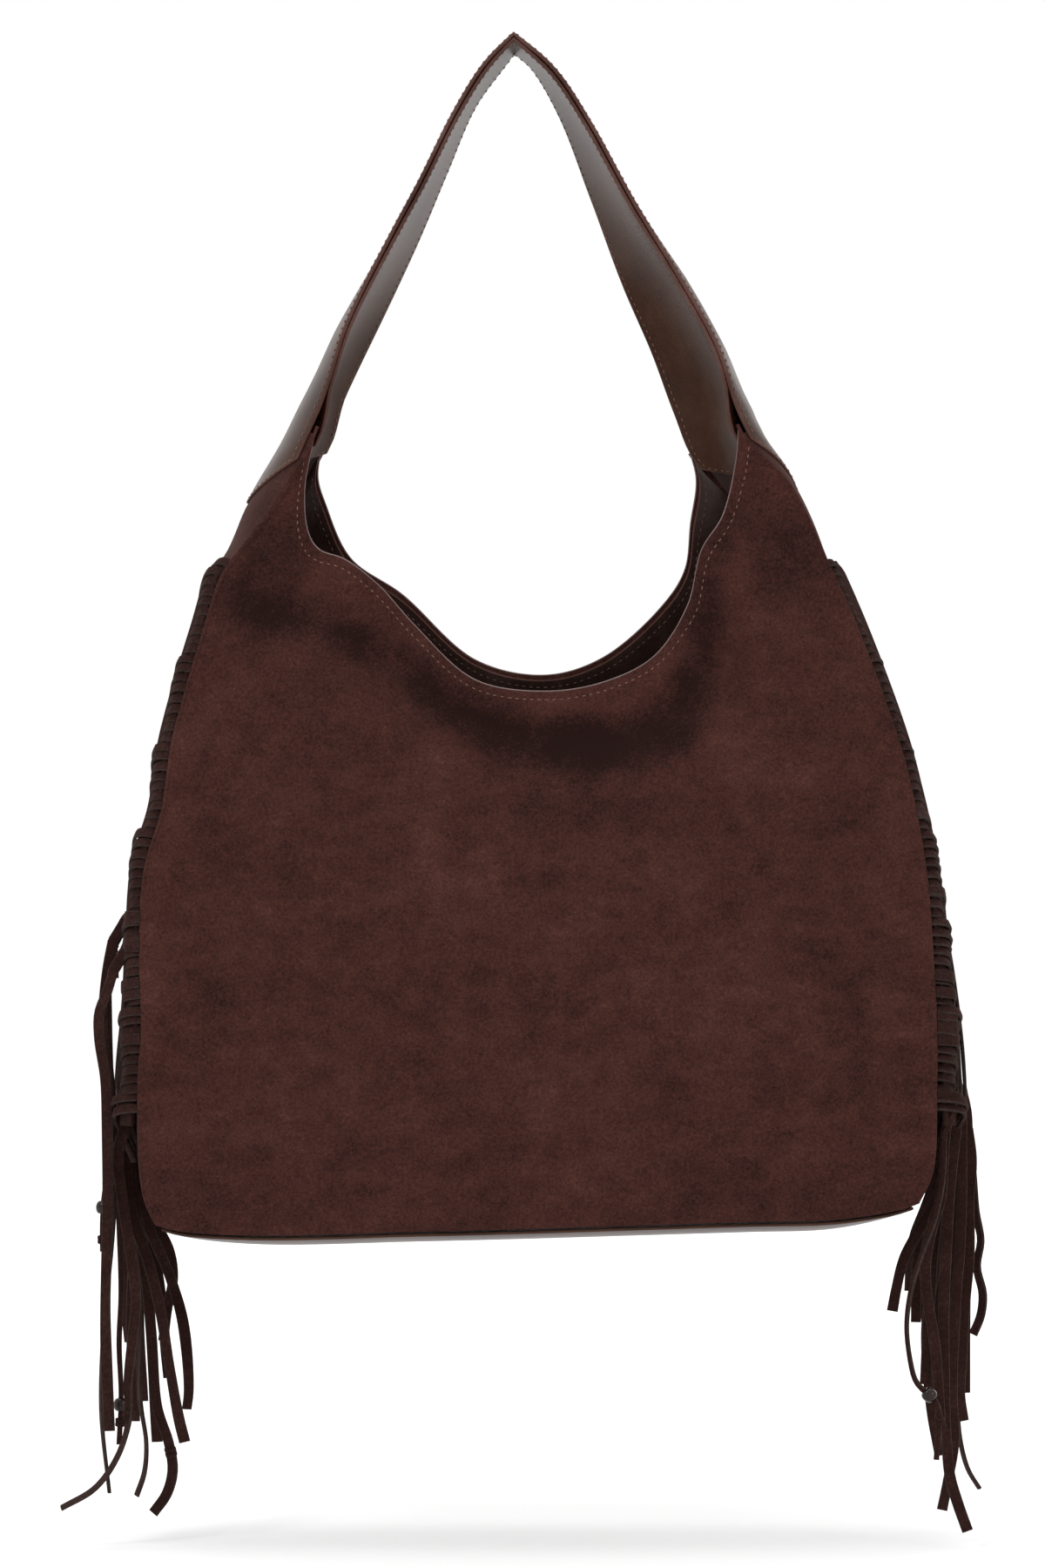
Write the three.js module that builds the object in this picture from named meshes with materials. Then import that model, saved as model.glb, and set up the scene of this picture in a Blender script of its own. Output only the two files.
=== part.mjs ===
// A hobo shoulder bag in imitation suede, hanging from its strap, with laced and fringed sides.
//
// Millimetres. The origin is under the top of the strap, where a hook or a shoulder holds the bag. +Z is up,
// +X is to the right of someone who faces the front of the bag, and the front faces -Y.

import * as THREE from 'three';

// ---------- driving dimensions ----------

const SUEDE = 1.5;            // thickness of the suede panels
const FACING = 1.0;           // thickness of the smooth facing inside the mouth
const LINING = 1.0;           // thickness of the lining
const STRAP_LAYER = 2.0;      // thickness of each of the strap's two layers
const PLY_GAP = 0.6;          // from the strap's middle surface to each layer
const GUSSET_INSET = 4.0;     // how far a gusset's long edges stand behind the panels
const FACING_DEPTH = 2.6;     // from a panel's outer surface to the facing
const SIDE_FACING_DEPTH = 4.2; // from a gusset's outer surface to the facing
const LINING_DEPTH = 5.0;     // from a panel's outer surface to the lining
const OVER_GUSSET = 1.2;      // from a gusset to the lacing or the strap end that lies over it
const PANEL_ROWS = [0, 0.12, 0.24, 0.36, 0.48, 0.6, 0.7, 0.78, 0.85, 0.9, 0.95, 1];
const PANEL_COLUMNS = 14;     // steps across a panel, its facing and the lining
const MOUTH_SHARE = 0.85;     // the facing covers a panel's height above this share
const LINING_SHARE = 0.82;    // the lining reaches up to this share
const PANEL_BULGE = 9;        // how far a filled panel rounds out between its edges
const BASE_SAG = 6;           // how far the base hangs below its seams
const LACING_TOP = -268;      // height where the side lacing starts
const LACING_END = -552;      // height where the side lacing ends and the fringe hangs
const RIBS = 22;              // folds of lacing on each side
const LACING_WIDTH = 0.88;    // share of a gusset's width under the lacing
const THONG_WIDTH = 5.6;      // flat suede thongs of the fringe
const THONG_THICK = 1.5;
const LACE_WIDTH = 2.8;       // narrower laces that carry the beads
const BEAD_RADIUS = 3.7;
const BEAD_BORE = 2.1;
const BEAD_HEIGHT = 6.6;

// Each side has two rails, from the strap's top down the strap's edges and the seams to the bottom corners.
// By height, arch is how far the strap and gusset stand out between the rails, and rib how thick the lacing is.
const LEFT = {
  sign: -1,
  front: [
    [0, -30, 3], [-14, -30, -12], [-29, -30, -36], [-47, -30, -72], [-62, -30, -100], [-84, -30, -145],
    [-93, -30, -174], [-101, -30, -196], [-109, -31, -214], [-124, -33, -239], [-133, -37, -251],
    [-148, -43, -272], [-157, -47, -299], [-173, -54, -357], [-178, -57, -392], [-187, -59, -423],
    [-189, -61, -476], [-188, -62, -500], [-190, -62, -535], [-187, -62, -588], [-181, -61, -602],
  ],
  back: [
    [0, 30, 3], [-21, 30, -25], [-36, 30, -60], [-50, 30, -94], [-67, 30, -132], [-84, 30, -168],
    [-94, 30, -190], [-102, 31, -209], [-115, 33, -229], [-128, 37, -248], [-143, 43, -270],
    [-153, 47, -296], [-171, 54, -356], [-186, 59, -423], [-189, 61, -476], [-189, 62, -535],
    [-187, 62, -588], [-181, 61, -602],
  ],
  arch: [
    [0, 0], [-94, 2], [-120, 5], [-150, 9], [-190, 13], [-214, 13.5], [-243, 13], [-262, 8], [-300, 5],
    [-602, 3],
  ],
  rib: [[-268, 4], [-400, 5], [-450, 5], [-520, 8], [-552, 9]],
  strapEnd: -214,
  tongueTip: -243,
  innerEnd: -204,
  innerTip: -214,
};

const RIGHT = {
  sign: 1,
  front: [
    [0, -30, 3], [20, -30, -15], [38, -30, -42], [61, -30, -84], [81, -30, -117], [103, -30, -157],
    [113, -30, -190], [120, -31, -204], [141, -33, -226], [154, -38, -251], [161, -43, -268],
    [173, -47, -295], [194, -54, -353], [201, -57, -379], [209, -59, -423], [212, -61, -462],
    [214, -62, -502], [214, -62, -530], [212, -62, -575], [205, -61, -591],
  ],
  back: [
    [0, 30, 3], [10, 30, -5], [25, 30, -31], [41, 30, -74], [58, 30, -122], [72, 30, -155], [84, 30, -188],
    [94, 31, -209], [116, 33, -232], [136, 38, -255], [149, 43, -274], [163, 47, -299], [188, 54, -353],
    [207, 59, -423], [213, 61, -484], [214, 62, -530], [212, 62, -575], [205, 61, -591],
  ],
  arch: [
    [0, 0], [-60, 3], [-100, 8], [-122, 12], [-146, 13], [-160, 14.5], [-190, 18], [-204, 16.8],
    [-214, 13.2], [-228, 9.4], [-250, 6.5], [-290, 3], [-591, 2],
  ],
  rib: [[-268, 3], [-380, 3], [-420, 5], [-490, 8], [-552, 11]],
  strapEnd: -204,
  tongueTip: -244,
  innerEnd: -204,
  innerTip: -218,
};

const FRONT_MOUTH = [
  [-101, -29, -196], [-107, -29, -229], [-105, -31, -251], [-99, -36, -260], [-86, -38, -265], [-69, -34, -278],
  [-51, -30, -298], [-20, -25, -326], [16, -24, -332], [47, -27, -327], [72, -31, -314], [89, -32, -288],
  [96, -32, -260], [107, -31, -242], [114, -30, -212], [115, -30, -195],
];
const BACK_MOUTH = [
  [-100, 29, -203], [-102, 29, -220], [-98, 29, -234], [-85, 27, -262], [-58, 24, -281], [-20, 21, -315],
  [16, 20, -323], [46, 21, -314], [77, 25, -287], [89, 28, -268], [92, 29, -244], [95, 30, -221], [91, 30, -204],
];
const FRONT_BASE = [
  [-181, -61, -602], [-169, -62, -605], [-127, -64, -607], [-53, -66, -605], [-13, -67, -604],
  [119, -65, -600], [163, -63, -599], [196, -62, -594], [205, -61, -591],
];
const BACK_BASE = [
  [-181, 61, -602], [-127, 64, -605], [-13, 67, -603], [119, 65, -600], [163, 63, -599], [205, 61, -591],
];

// The fringe: each thong's lane from front to back, then its route down as points of X and Z.
const LEFT_FRINGE = [
  [-50, [-203, -474], [-206, -484], [-210, -495], [-210, -508], [-207, -528], [-206, -550], [-206, -600],
    [-207, -650], [-205, -707]],
  [-36, [-204, -459], [-207, -475], [-209, -495], [-208, -512], [-206, -532], [-206, -560], [-205, -602],
    [-209, -656], [-210, -700], [-206, -740]],
  [-43, [-198, -555], [-201, -567], [-199, -589], [-195, -616], [-192, -640], [-194, -663], [-196, -684],
    [-196, -704], [-202, -722], [-213, -737], [-230, -747]],
  [-29, [-196, -556], [-197, -580], [-194, -601], [-187, -622], [-181, -645], [-176, -675], [-171, -703], [-168, -715]],
  [-15, [-199, -556], [-197, -585], [-193, -604], [-188, -637], [-186, -661], [-183, -698], [-177, -717],
    [-175, -731], [-178, -743], [-185, -753]],
  [-8, [-204, -557], [-200, -590], [-195, -621], [-192, -657], [-192, -696], [-189, -718], [-190, -733], [-194, -745]],
  [6, [-199, -556], [-196, -585], [-189, -607], [-179, -630], [-172, -652], [-169, -672], [-168, -693], [-169, -702]],
  [20, [-199, -556], [-195, -585], [-187, -605], [-179, -621], [-177, -636], [-180, -652], [-182, -668]],
  [27, [-200, -556], [-199, -600], [-196, -640], [-194, -680], [-193, -700]],
  [34, [-199, -556], [-196, -600], [-191, -640], [-188, -690], [-186, -722]],
  [41, [-198, -556], [-198, -610], [-200, -660], [-198, -712]],
  [48, [-197, -556], [-194, -600], [-186, -640], [-182, -680], [-181, -690]],
  [55, [-200, -556], [-204, -600], [-204, -650], [-202, -672]],
];
const LEFT_LACES = [
  [-22, [-204, -462], [-207, -480], [-207, -500], [-206, -530], [-204, -570], [-202, -603], [-201, -640],
    [-202, -665], [-201, -692], [-202, -717]],
  [-1, [-206, -557], [-208, -575], [-211, -590], [-212, -605], [-212, -620]],
];
const RIGHT_FRINGE = [
  [-47, [219, -556], [218, -572], [217, -588], [212, -605], [209, -622], [210, -640], [214, -665], [217, -706]],
  [-40, [225, -556], [223, -575], [221, -600], [219, -639], [219, -675], [220, -708], [222, -731], [226, -745],
    [231, -759]],
  [-33, [220, -556], [219, -578], [216, -600], [213, -628], [211, -662], [210, -685]],
  [-26, [229, -556], [229, -589], [228, -619], [226, -641], [224, -690], [225, -716], [222, -735], [219, -750]],
  [-19, [221, -556], [220, -575], [216, -593], [208, -607], [200, -622], [196, -638], [194, -649]],
  [-12, [233, -556], [235, -572], [234, -594], [234, -620], [232, -645], [230, -672], [229, -692], [231, -706]],
  [-5, [223, -556], [220, -580], [214, -601], [208, -625], [207, -656]],
  [2, [234, -557], [236, -580], [238, -599], [241, -614], [239, -628], [242, -642], [241, -653], [237, -663]],
  [9, [221, -556], [219, -580], [213, -598], [207, -613], [205, -625], [204, -641]],
  [16, [226, -556], [224, -590], [218, -630], [214, -660], [216, -700], [221, -727]],
  [23, [231, -556], [230, -600], [229, -650], [230, -695], [232, -720], [236, -735], [242, -745]],
  [30, [235, -556], [235, -600], [235, -650], [235, -696]],
  [37, [226, -556], [224, -600], [222, -650], [221, -690], [223, -718]],
  [44, [220, -556], [220, -590], [218, -630], [219, -660], [221, -700]],
  [51, [219, -556], [218, -600], [215, -640], [217, -668]],
];
const RIGHT_LACES = [
  [-55, [218, -556], [217, -580], [213, -600], [206, -619], [201, -636], [199, -654], [201, -672], [203.5, -681],
    [207, -685.4], [213, -690.6], [215.5, -698], [215, -708], [214, -721]],
];
// Where each bead sits along its lace, as a share of the lace's length.
const LEFT_BEADS = [0.92, 0.64];
const RIGHT_BEADS = [0.8];

const COLOURS = {
  suede: 0x4a2c29,
  smooth: 0x4b3a34,
  lining: 0x1d1513,
  fringe: 0x34221f,
  bead: 0x24140f,
};

// ---------- shapes ----------

const bag = new THREE.Group();

const smoothCurve = (points) => new THREE.CatmullRomCurve3(points.map((p) => new THREE.Vector3(...p)));

function addMesh(name, geometry, colour, roughness = 0.9) {
  const material = new THREE.MeshStandardMaterial({ color: colour, roughness, metalness: 0 });
  const mesh = new THREE.Mesh(geometry, material);
  mesh.name = name;
  bag.add(mesh);
  return mesh;
}

// The volume inside a closed mesh, negative where its faces point inwards.
function signedVolume(positions, indices) {
  const [a, b, c] = [new THREE.Vector3(), new THREE.Vector3(), new THREE.Vector3()];
  let volume = 0;
  for (let i = 0; i < indices.length; i += 3) {
    a.fromArray(positions, indices[i] * 3);
    b.fromArray(positions, indices[i + 1] * 3);
    c.fromArray(positions, indices[i + 2] * 3);
    volume += a.dot(b.cross(c)) / 6;
  }
  return volume;
}

function closedGeometry(positions, indices) {
  if (signedVolume(positions, indices) < 0) {
    indices.reverse();
  }
  const geometry = new THREE.BufferGeometry();
  geometry.setAttribute('position', new THREE.Float32BufferAttribute(positions, 3));
  geometry.setIndex(indices);
  geometry.computeVertexNormals();
  return geometry;
}

// A piece cut from sheet: the surface outer(u, v) and the surface inner(u, v), closed around the rim.
function sheet(outer, inner, across, along) {
  const positions = [];
  for (const surface of [outer, inner]) {
    for (let i = 0; i <= across; i++) {
      for (let j = 0; j <= along; j++) {
        positions.push(...surface(i / across, j / along).toArray());
      }
    }
  }
  const layer = (across + 1) * (along + 1);
  const at = (side, i, j) => side * layer + i * (along + 1) + j;
  const indices = [];
  const quad = (a, b, c, d) => indices.push(a, b, c, a, c, d);
  for (let i = 0; i < across; i++) {
    for (let j = 0; j < along; j++) {
      quad(at(0, i, j), at(0, i + 1, j), at(0, i + 1, j + 1), at(0, i, j + 1));
      quad(at(1, i, j), at(1, i, j + 1), at(1, i + 1, j + 1), at(1, i + 1, j));
    }
    quad(at(0, i, 0), at(1, i, 0), at(1, i + 1, 0), at(0, i + 1, 0));
    quad(at(0, i, along), at(0, i + 1, along), at(1, i + 1, along), at(1, i, along));
  }
  for (let j = 0; j < along; j++) {
    quad(at(0, 0, j), at(0, 0, j + 1), at(1, 0, j + 1), at(1, 0, j));
    quad(at(0, across, j), at(1, across, j), at(1, across, j + 1), at(0, across, j + 1));
  }
  return closedGeometry(positions, indices);
}

// A value that changes evenly between [height, value] pairs, listed from the top down.
function profile(pairs, height) {
  const below = pairs.findIndex(([z]) => z <= height);
  if (below <= 0) {
    return below === 0 ? pairs[0][1] : pairs[pairs.length - 1][1];
  }
  const [z0, a] = pairs[below - 1];
  const [z1, b] = pairs[below];
  return THREE.MathUtils.mapLinear(height, z0, z1, a, b);
}

for (const side of [LEFT, RIGHT]) {
  side.frontRail = smoothCurve(side.front);
  side.backRail = smoothCurve(side.back);
}

// How far down a side's rails a height lies, from 0 at the top of the strap to 1 at the bottom corner.
function shareAt(side, height) {
  let above = 0;
  let below = 1;
  while (below - above > 1e-5) {
    const middle = (above + below) / 2;
    if (side.frontRail.getPointAt(middle).z > height) {
      above = middle;
    } else {
      below = middle;
    }
  }
  return above;
}

// The direction out of the bag from a side's rails, in the XZ plane; straight up at the top of the strap.
function outwardAt(side, share) {
  const step = 0.01;
  const low = side.frontRail.getPointAt(Math.min(1, share + step));
  const high = side.frontRail.getPointAt(Math.max(0, share - step));
  low.add(side.backRail.getPointAt(Math.min(1, share + step)));
  high.add(side.backRail.getPointAt(Math.max(0, share - step)));
  const down = low.sub(high);
  const outward = new THREE.Vector3(-side.sign * down.z, 0, side.sign * down.x).normalize();
  const turned = THREE.MathUtils.smoothstep(share, 0, 0.04);
  return new THREE.Vector3(0, 0, 1).lerp(outward, turned).normalize();
}

// The strap and gusset of one side: width runs from -1 at the front rail to 1 at the back rail.
function sideSkin(side, share, width, offset) {
  const front = side.frontRail.getPointAt(share);
  const arch = profile(side.arch, front.z) * (1 - width * width);
  const point = front.lerp(side.backRail.getPointAt(share), (1 + width) / 2);
  return point.addScaledVector(outwardAt(side, share), arch + offset);
}

// The rails below the strap bound the front and back panels, together with the mouth and the base edge.
const HORN = { left: shareAt(LEFT, -196), right: shareAt(RIGHT, -195) };
const seamShare = (side, v) => THREE.MathUtils.lerp(1, side === LEFT ? HORN.left : HORN.right, v);

function makePanelSkin(rail, mouthPoints, basePoints, outwards) {
  const mouth = smoothCurve(mouthPoints);
  const base = smoothCurve(basePoints);
  return (u, v, depth = 0) => {
    const left = LEFT[rail].getPointAt(seamShare(LEFT, v));
    const right = RIGHT[rail].getPointAt(seamShare(RIGHT, v));
    const low = base.getPointAt(u);
    const high = mouth.getPointAt(u);
    const corner = (side, end) => side[rail].getPointAt(seamShare(side, end));
    const lowLine = corner(LEFT, 0).lerp(corner(RIGHT, 0), u);
    const highLine = corner(LEFT, 1).lerp(corner(RIGHT, 1), u);
    const point = left.lerp(right, u).add(low.lerp(high, v)).sub(lowLine.lerp(highLine, v));
    const bulge = PANEL_BULGE * 16 * u * (1 - u) * v * (1 - v);
    point.y += outwards * (bulge - depth);
    return point;
  };
}

const frontSkin = makePanelSkin('frontRail', FRONT_MOUTH, FRONT_BASE, -1);
const backSkin = makePanelSkin('backRail', BACK_MOUTH, BACK_BASE, 1);

// ---------- panels, gussets and base ----------

function addPanel(name, skin) {
  const rows = PANEL_ROWS.length - 1;
  const surface = (depth) => (u, v) => skin(u, PANEL_ROWS[Math.round(v * rows)], depth);
  addMesh(name, sheet(surface(0), surface(SUEDE), PANEL_COLUMNS, rows), COLOURS.suede);
}

function addGusset(name, side) {
  const top = shareAt(side, side.innerEnd + 2);
  const surface = (offset) => (u, v) => {
    const share = THREE.MathUtils.lerp(top, 1, u);
    const seamDepth = Math.abs(side.frontRail.getPointAt(share).y);
    const width = (2 * v - 1) * (1 - GUSSET_INSET / seamDepth);
    return sideSkin(side, share, width, offset);
  };
  addMesh(name, sheet(surface(0), surface(-SUEDE), 22, 6), COLOURS.suede);
}

function addBase() {
  const front = smoothCurve(FRONT_BASE);
  const back = smoothCurve(BACK_BASE);
  const [inFromEnd, inFromSeam] = [0.012, 0.02];
  const surface = (lower) => (u, v) => {
    const along = THREE.MathUtils.lerp(inFromEnd, 1 - inFromEnd, u);
    const across = THREE.MathUtils.lerp(inFromSeam, 1 - inFromSeam, v);
    const point = front.getPointAt(along).lerp(back.getPointAt(along), across);
    const roundness = (1 - (2 * across - 1) ** 4) * (1 - (2 * along - 1) ** 8);
    point.z -= 0.4 + BASE_SAG * roundness + lower;
    return point;
  };
  addMesh('base_panel', sheet(surface(0), surface(SUEDE), 10, 6), COLOURS.smooth, 0.5);
}

// ---------- facing and lining ----------

function addFacing(name, skin) {
  const edge = 1 / PANEL_COLUMNS;
  const rows = PANEL_ROWS.filter((share) => share >= MOUTH_SHARE);
  const surface = (depth) => (u, v) => {
    const row = rows[Math.round(v * (rows.length - 1))];
    return skin(THREE.MathUtils.lerp(edge, 1 - edge, u), row, depth);
  };
  const geometry = sheet(
    surface(FACING_DEPTH),
    surface(FACING_DEPTH + FACING),
    PANEL_COLUMNS - 2,
    rows.length - 1,
  );
  addMesh(name, geometry, COLOURS.smooth, 0.5);
}

function addSideFacing(name, side) {
  const top = shareAt(side, side.innerEnd - 1);
  const surface = (offset) => (u, v) => {
    const share = THREE.MathUtils.lerp(top, seamShare(side, MOUTH_SHARE), u);
    return sideSkin(side, share, (2 * v - 1) * 0.78, -offset);
  };
  const [near, far] = [SIDE_FACING_DEPTH, SIDE_FACING_DEPTH + FACING];
  addMesh(name, sheet(surface(near), surface(far), 6, 6), COLOURS.smooth, 0.5);
}

// The lining is one bag inside the panels, gussets and base, open at the mouth.
function liningRing(v, depth) {
  const across = PANEL_COLUMNS;
  const wide = 4;
  const points = [];
  const shrink = (point, side) => {
    point.x -= side.sign * depth;
    return point;
  };
  const panel = (skin, from, to) => {
    for (let i = 0; i < across; i++) {
      const u = THREE.MathUtils.lerp(from, to, i / across);
      const point = skin(u, v, depth);
      point.x -= depth * (2 * u - 1);
      points.push(point);
    }
  };
  const gusset = (side, from, to) => {
    for (let i = 0; i < wide; i++) {
      const width = THREE.MathUtils.lerp(from, to, i / wide);
      const point = shrink(sideSkin(side, seamShare(side, v), width, 0), side);
      point.y *= 1 - depth / Math.abs(side.frontRail.getPointAt(seamShare(side, v)).y);
      points.push(point);
    }
  };
  panel(frontSkin, 0, 1);
  gusset(RIGHT, -1, 1);
  panel(backSkin, 1, 0);
  gusset(LEFT, 1, -1);
  return points;
}

function addLining() {
  const levels = 8;
  const lift = 3;
  const positions = [];
  const rings = [];
  const centres = [];
  for (const depth of [LINING_DEPTH, LINING_DEPTH + LINING]) {
    const wall = [];
    for (let level = 0; level <= levels; level++) {
      const ring = liningRing((LINING_SHARE * level) / levels, depth);
      const raise = (lift + depth - LINING_DEPTH) * (1 - level / levels);
      wall.push(positions.length / 3);
      ring.forEach((point) => positions.push(point.x, point.y, point.z + raise));
    }
    rings.push(wall);
    centres.push(positions.length / 3);
    positions.push(12, 0, -600 + lift + depth - LINING_DEPTH);
  }
  const count = liningRing(0, LINING_DEPTH).length;
  const indices = [];
  const quad = (a, b, c, d) => indices.push(a, b, c, a, c, d);
  for (let i = 0; i < count; i++) {
    const next = (i + 1) % count;
    for (let level = 0; level < levels; level++) {
      const [low, high] = [rings[0][level], rings[0][level + 1]];
      quad(low + i, low + next, high + next, high + i);
      const [innerLow, innerHigh] = [rings[1][level], rings[1][level + 1]];
      quad(innerLow + i, innerHigh + i, innerHigh + next, innerLow + next);
    }
    quad(rings[0][levels] + i, rings[0][levels] + next, rings[1][levels] + next, rings[1][levels] + i);
    indices.push(centres[0], rings[0][0] + next, rings[0][0] + i);
    indices.push(centres[1], rings[1][0] + i, rings[1][0] + next);
  }
  addMesh('lining', closedGeometry(positions, indices), COLOURS.lining);
}

// ---------- strap ----------

// One strap layer. Its ends are tongues: the middle of the width runs further down the bag than the edges.
function addStrapLayer(name, offsetAt, thickness, endKey, tipKey, sharpness, widthAt) {
  const half = 26;
  const surface = (lower) => (u, v) => {
    const side = u < 0.5 ? LEFT : RIGHT;
    const width = 2 * v - 1;
    const edge = shareAt(side, side[endKey]);
    const tip = shareAt(side, side[tipKey]);
    const end = THREE.MathUtils.lerp(tip, edge, Math.abs(width) ** sharpness);
    const share = Math.abs(2 * u - 1) * end;
    return sideSkin(side, share, width * widthAt(share / edge), offsetAt(share / edge) + lower);
  };
  addMesh(name, sheet(surface(thickness), surface(0), 2 * half, 6), COLOURS.smooth, 0.45);
}

function addStrap() {
  const nearEnd = (s) => THREE.MathUtils.smoothstep(s, 0.86, 0.97);
  const outerOffset = (s) => THREE.MathUtils.lerp(PLY_GAP, OVER_GUSSET, nearEnd(s));
  const innerDepth = SIDE_FACING_DEPTH + FACING + OVER_GUSSET + STRAP_LAYER;
  const innerOffset = (s) => -THREE.MathUtils.lerp(PLY_GAP + STRAP_LAYER, innerDepth, nearEnd(s));
  addStrapLayer('strap_outer', outerOffset, STRAP_LAYER, 'strapEnd', 'tongueTip', 1.3, () => 1);
  const innerWidth = (s) => THREE.MathUtils.lerp(0.97, 0.74, nearEnd(s));
  addStrapLayer('strap_inner', innerOffset, STRAP_LAYER, 'innerEnd', 'innerTip', 2, innerWidth);
}

// ---------- side lacing, fringe and beads ----------

// The strips that cross a gusset lie as one ribbed piece, thicker towards the fringe.
function addLacing(name, side) {
  const top = shareAt(side, LACING_TOP);
  const end = shareAt(side, LACING_END);
  const rows = 2 * RIBS;
  const surface = (outer) => (u, v) => {
    const share = THREE.MathUtils.lerp(top, end, u);
    const width = (2 * v - 1) * LACING_WIDTH;
    const row = Math.round(u * rows);
    const height = profile(side.rib, side.frontRail.getPointAt(share).z) * (row % 2 === 1 ? 1 : 0.55);
    return sideSkin(side, share, width, OVER_GUSSET + outer * height);
  };
  addMesh(name, sheet(surface(1), surface(0), rows, 4), COLOURS.fringe);
}

// A flat strip's section, thin from front to back and wide across, with its corners taken off.
function stripSection(width, thickness) {
  const [a, b] = [thickness / 2, width / 2];
  const c = thickness * 0.25;
  return new THREE.Shape([
    new THREE.Vector2(a, b - c), new THREE.Vector2(a - c, b), new THREE.Vector2(c - a, b),
    new THREE.Vector2(-a, b - c), new THREE.Vector2(-a, c - b), new THREE.Vector2(c - a, -b),
    new THREE.Vector2(a - c, -b), new THREE.Vector2(a, c - b),
  ]);
}

function addThong(name, [lane, ...route], width) {
  const path = smoothCurve(route.map(([x, z]) => [x, lane, z]));
  const steps = Math.round(path.getLength() / (width === LACE_WIDTH ? 8 : 17));
  const options = { steps, extrudePath: path, bevelEnabled: false };
  const geometry = new THREE.ExtrudeGeometry(stripSection(width, THONG_THICK), options);
  addMesh(name, geometry, COLOURS.fringe);
  return path;
}

function addBead(name, path, share) {
  const [half, wall] = [BEAD_HEIGHT / 2, BEAD_RADIUS - BEAD_BORE];
  const outline = [new THREE.Vector2(BEAD_BORE, -half)];
  const steps = 6;
  for (let i = 1; i < steps; i++) {
    const angle = (Math.PI * i) / steps;
    outline.push(new THREE.Vector2(BEAD_BORE + wall * Math.sin(angle), -half * Math.cos(angle)));
  }
  outline.push(new THREE.Vector2(BEAD_BORE, half), new THREE.Vector2(BEAD_BORE, -half));
  const bead = addMesh(name, new THREE.LatheGeometry(outline, 10), COLOURS.bead, 0.2);
  bead.position.copy(path.getPointAt(share));
  bead.quaternion.setFromUnitVectors(new THREE.Vector3(0, 1, 0), path.getTangentAt(share));
}

function addFringe(prefix, thongs, laces, beads) {
  thongs.forEach((thong, i) => addThong(`${prefix}_thong_${String(i + 1).padStart(2, '0')}`, thong, THONG_WIDTH));
  laces.forEach((lace, i) => {
    const path = addThong(`${prefix}_lace_${i + 1}`, lace, LACE_WIDTH);
    addBead(`${prefix}_bead_${i + 1}`, path, beads[i]);
  });
}

addPanel('front_panel', frontSkin);
addPanel('back_panel', backSkin);
addGusset('left_gusset', LEFT);
addGusset('right_gusset', RIGHT);
addBase();
addFacing('front_facing', frontSkin);
addFacing('back_facing', backSkin);
addSideFacing('left_side_facing', LEFT);
addSideFacing('right_side_facing', RIGHT);
addLining();
addStrap();
addLacing('left_lacing', LEFT);
addLacing('right_lacing', RIGHT);
addFringe('left', LEFT_FRINGE, LEFT_LACES, LEFT_BEADS);
addFringe('right', RIGHT_FRINGE, RIGHT_LACES, RIGHT_BEADS);

export default bag;
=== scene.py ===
"""A hobo shoulder bag in imitation suede, hanging from its strap, with laced and fringed sides.

The shapes are worked out in millimetres and turned into metres when a mesh is made. The origin is under
the top of the strap, +Z is up, and the front of the bag faces -Y.
"""

import math
import random

import bmesh
import bpy
import numpy as np
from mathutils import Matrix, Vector


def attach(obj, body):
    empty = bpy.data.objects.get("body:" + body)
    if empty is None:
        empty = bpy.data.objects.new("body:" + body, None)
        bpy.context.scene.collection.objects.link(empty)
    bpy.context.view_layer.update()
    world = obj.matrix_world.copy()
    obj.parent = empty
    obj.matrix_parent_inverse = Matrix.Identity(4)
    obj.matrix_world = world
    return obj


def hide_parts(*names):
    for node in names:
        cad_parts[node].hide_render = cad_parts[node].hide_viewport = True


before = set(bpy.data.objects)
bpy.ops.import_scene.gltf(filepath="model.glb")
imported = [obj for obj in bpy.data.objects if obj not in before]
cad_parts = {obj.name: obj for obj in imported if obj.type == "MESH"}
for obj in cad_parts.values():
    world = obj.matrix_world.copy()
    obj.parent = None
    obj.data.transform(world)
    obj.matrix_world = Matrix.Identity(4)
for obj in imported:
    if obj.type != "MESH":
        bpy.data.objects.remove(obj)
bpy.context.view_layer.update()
random.seed(11)


def add_object(name, data):
    obj = bpy.data.objects.new(name, data)
    bpy.context.scene.collection.objects.link(obj)
    return obj


# ---------- camera ----------

camera = add_object("camera", bpy.data.cameras.new("camera"))
camera.location = (0.0045, -3.0, -0.379)
camera.rotation_euler = (math.pi / 2, 0, 0)
camera.data.lens = 133.6
camera.data.sensor_width = 36
bpy.context.scene.camera = camera
bpy.context.scene.view_settings.view_transform = "Standard"

# ---------- dimensions in millimetres, the part's unless a comment says otherwise ----------

SUEDE = 1.5
FACING = 1.0
LINING = 1.0
STRAP_LAYER = 2.0
PLY_GAP = 0.2  # from the strap's middle surface to each layer, closer than the part's 0.6
FACING_DEPTH = 2.6
SIDE_FACING_DEPTH = 4.2
LINING_DEPTH = 5.0
MOUTH_SHARE = 0.85
LINING_SHARE = 0.84  # a little higher up than the part's
OVER_GUSSET = 1.2
PANEL_BULGE = 9
BASE_SAG = 6
LACING_TOP = -268
LACING_END = -552
THONG_WIDTH = 5.6
THONG_THICK = 1.5
LACE_WIDTH = 2.8

# Rough sizes of the sheets, mostly to space the points near their rims.
PANEL_WIDTH, PANEL_HEIGHT = 400, 330
GUSSET_LENGTH, GUSSET_WIDTH, GUSSET_HALF_DEPTH = 400, 100, 62
BASE_LENGTH, BASE_WIDTH = 390, 125
STRAP_HALF_LENGTH, STRAP_HALF_WIDTH = 250, 30

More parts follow.
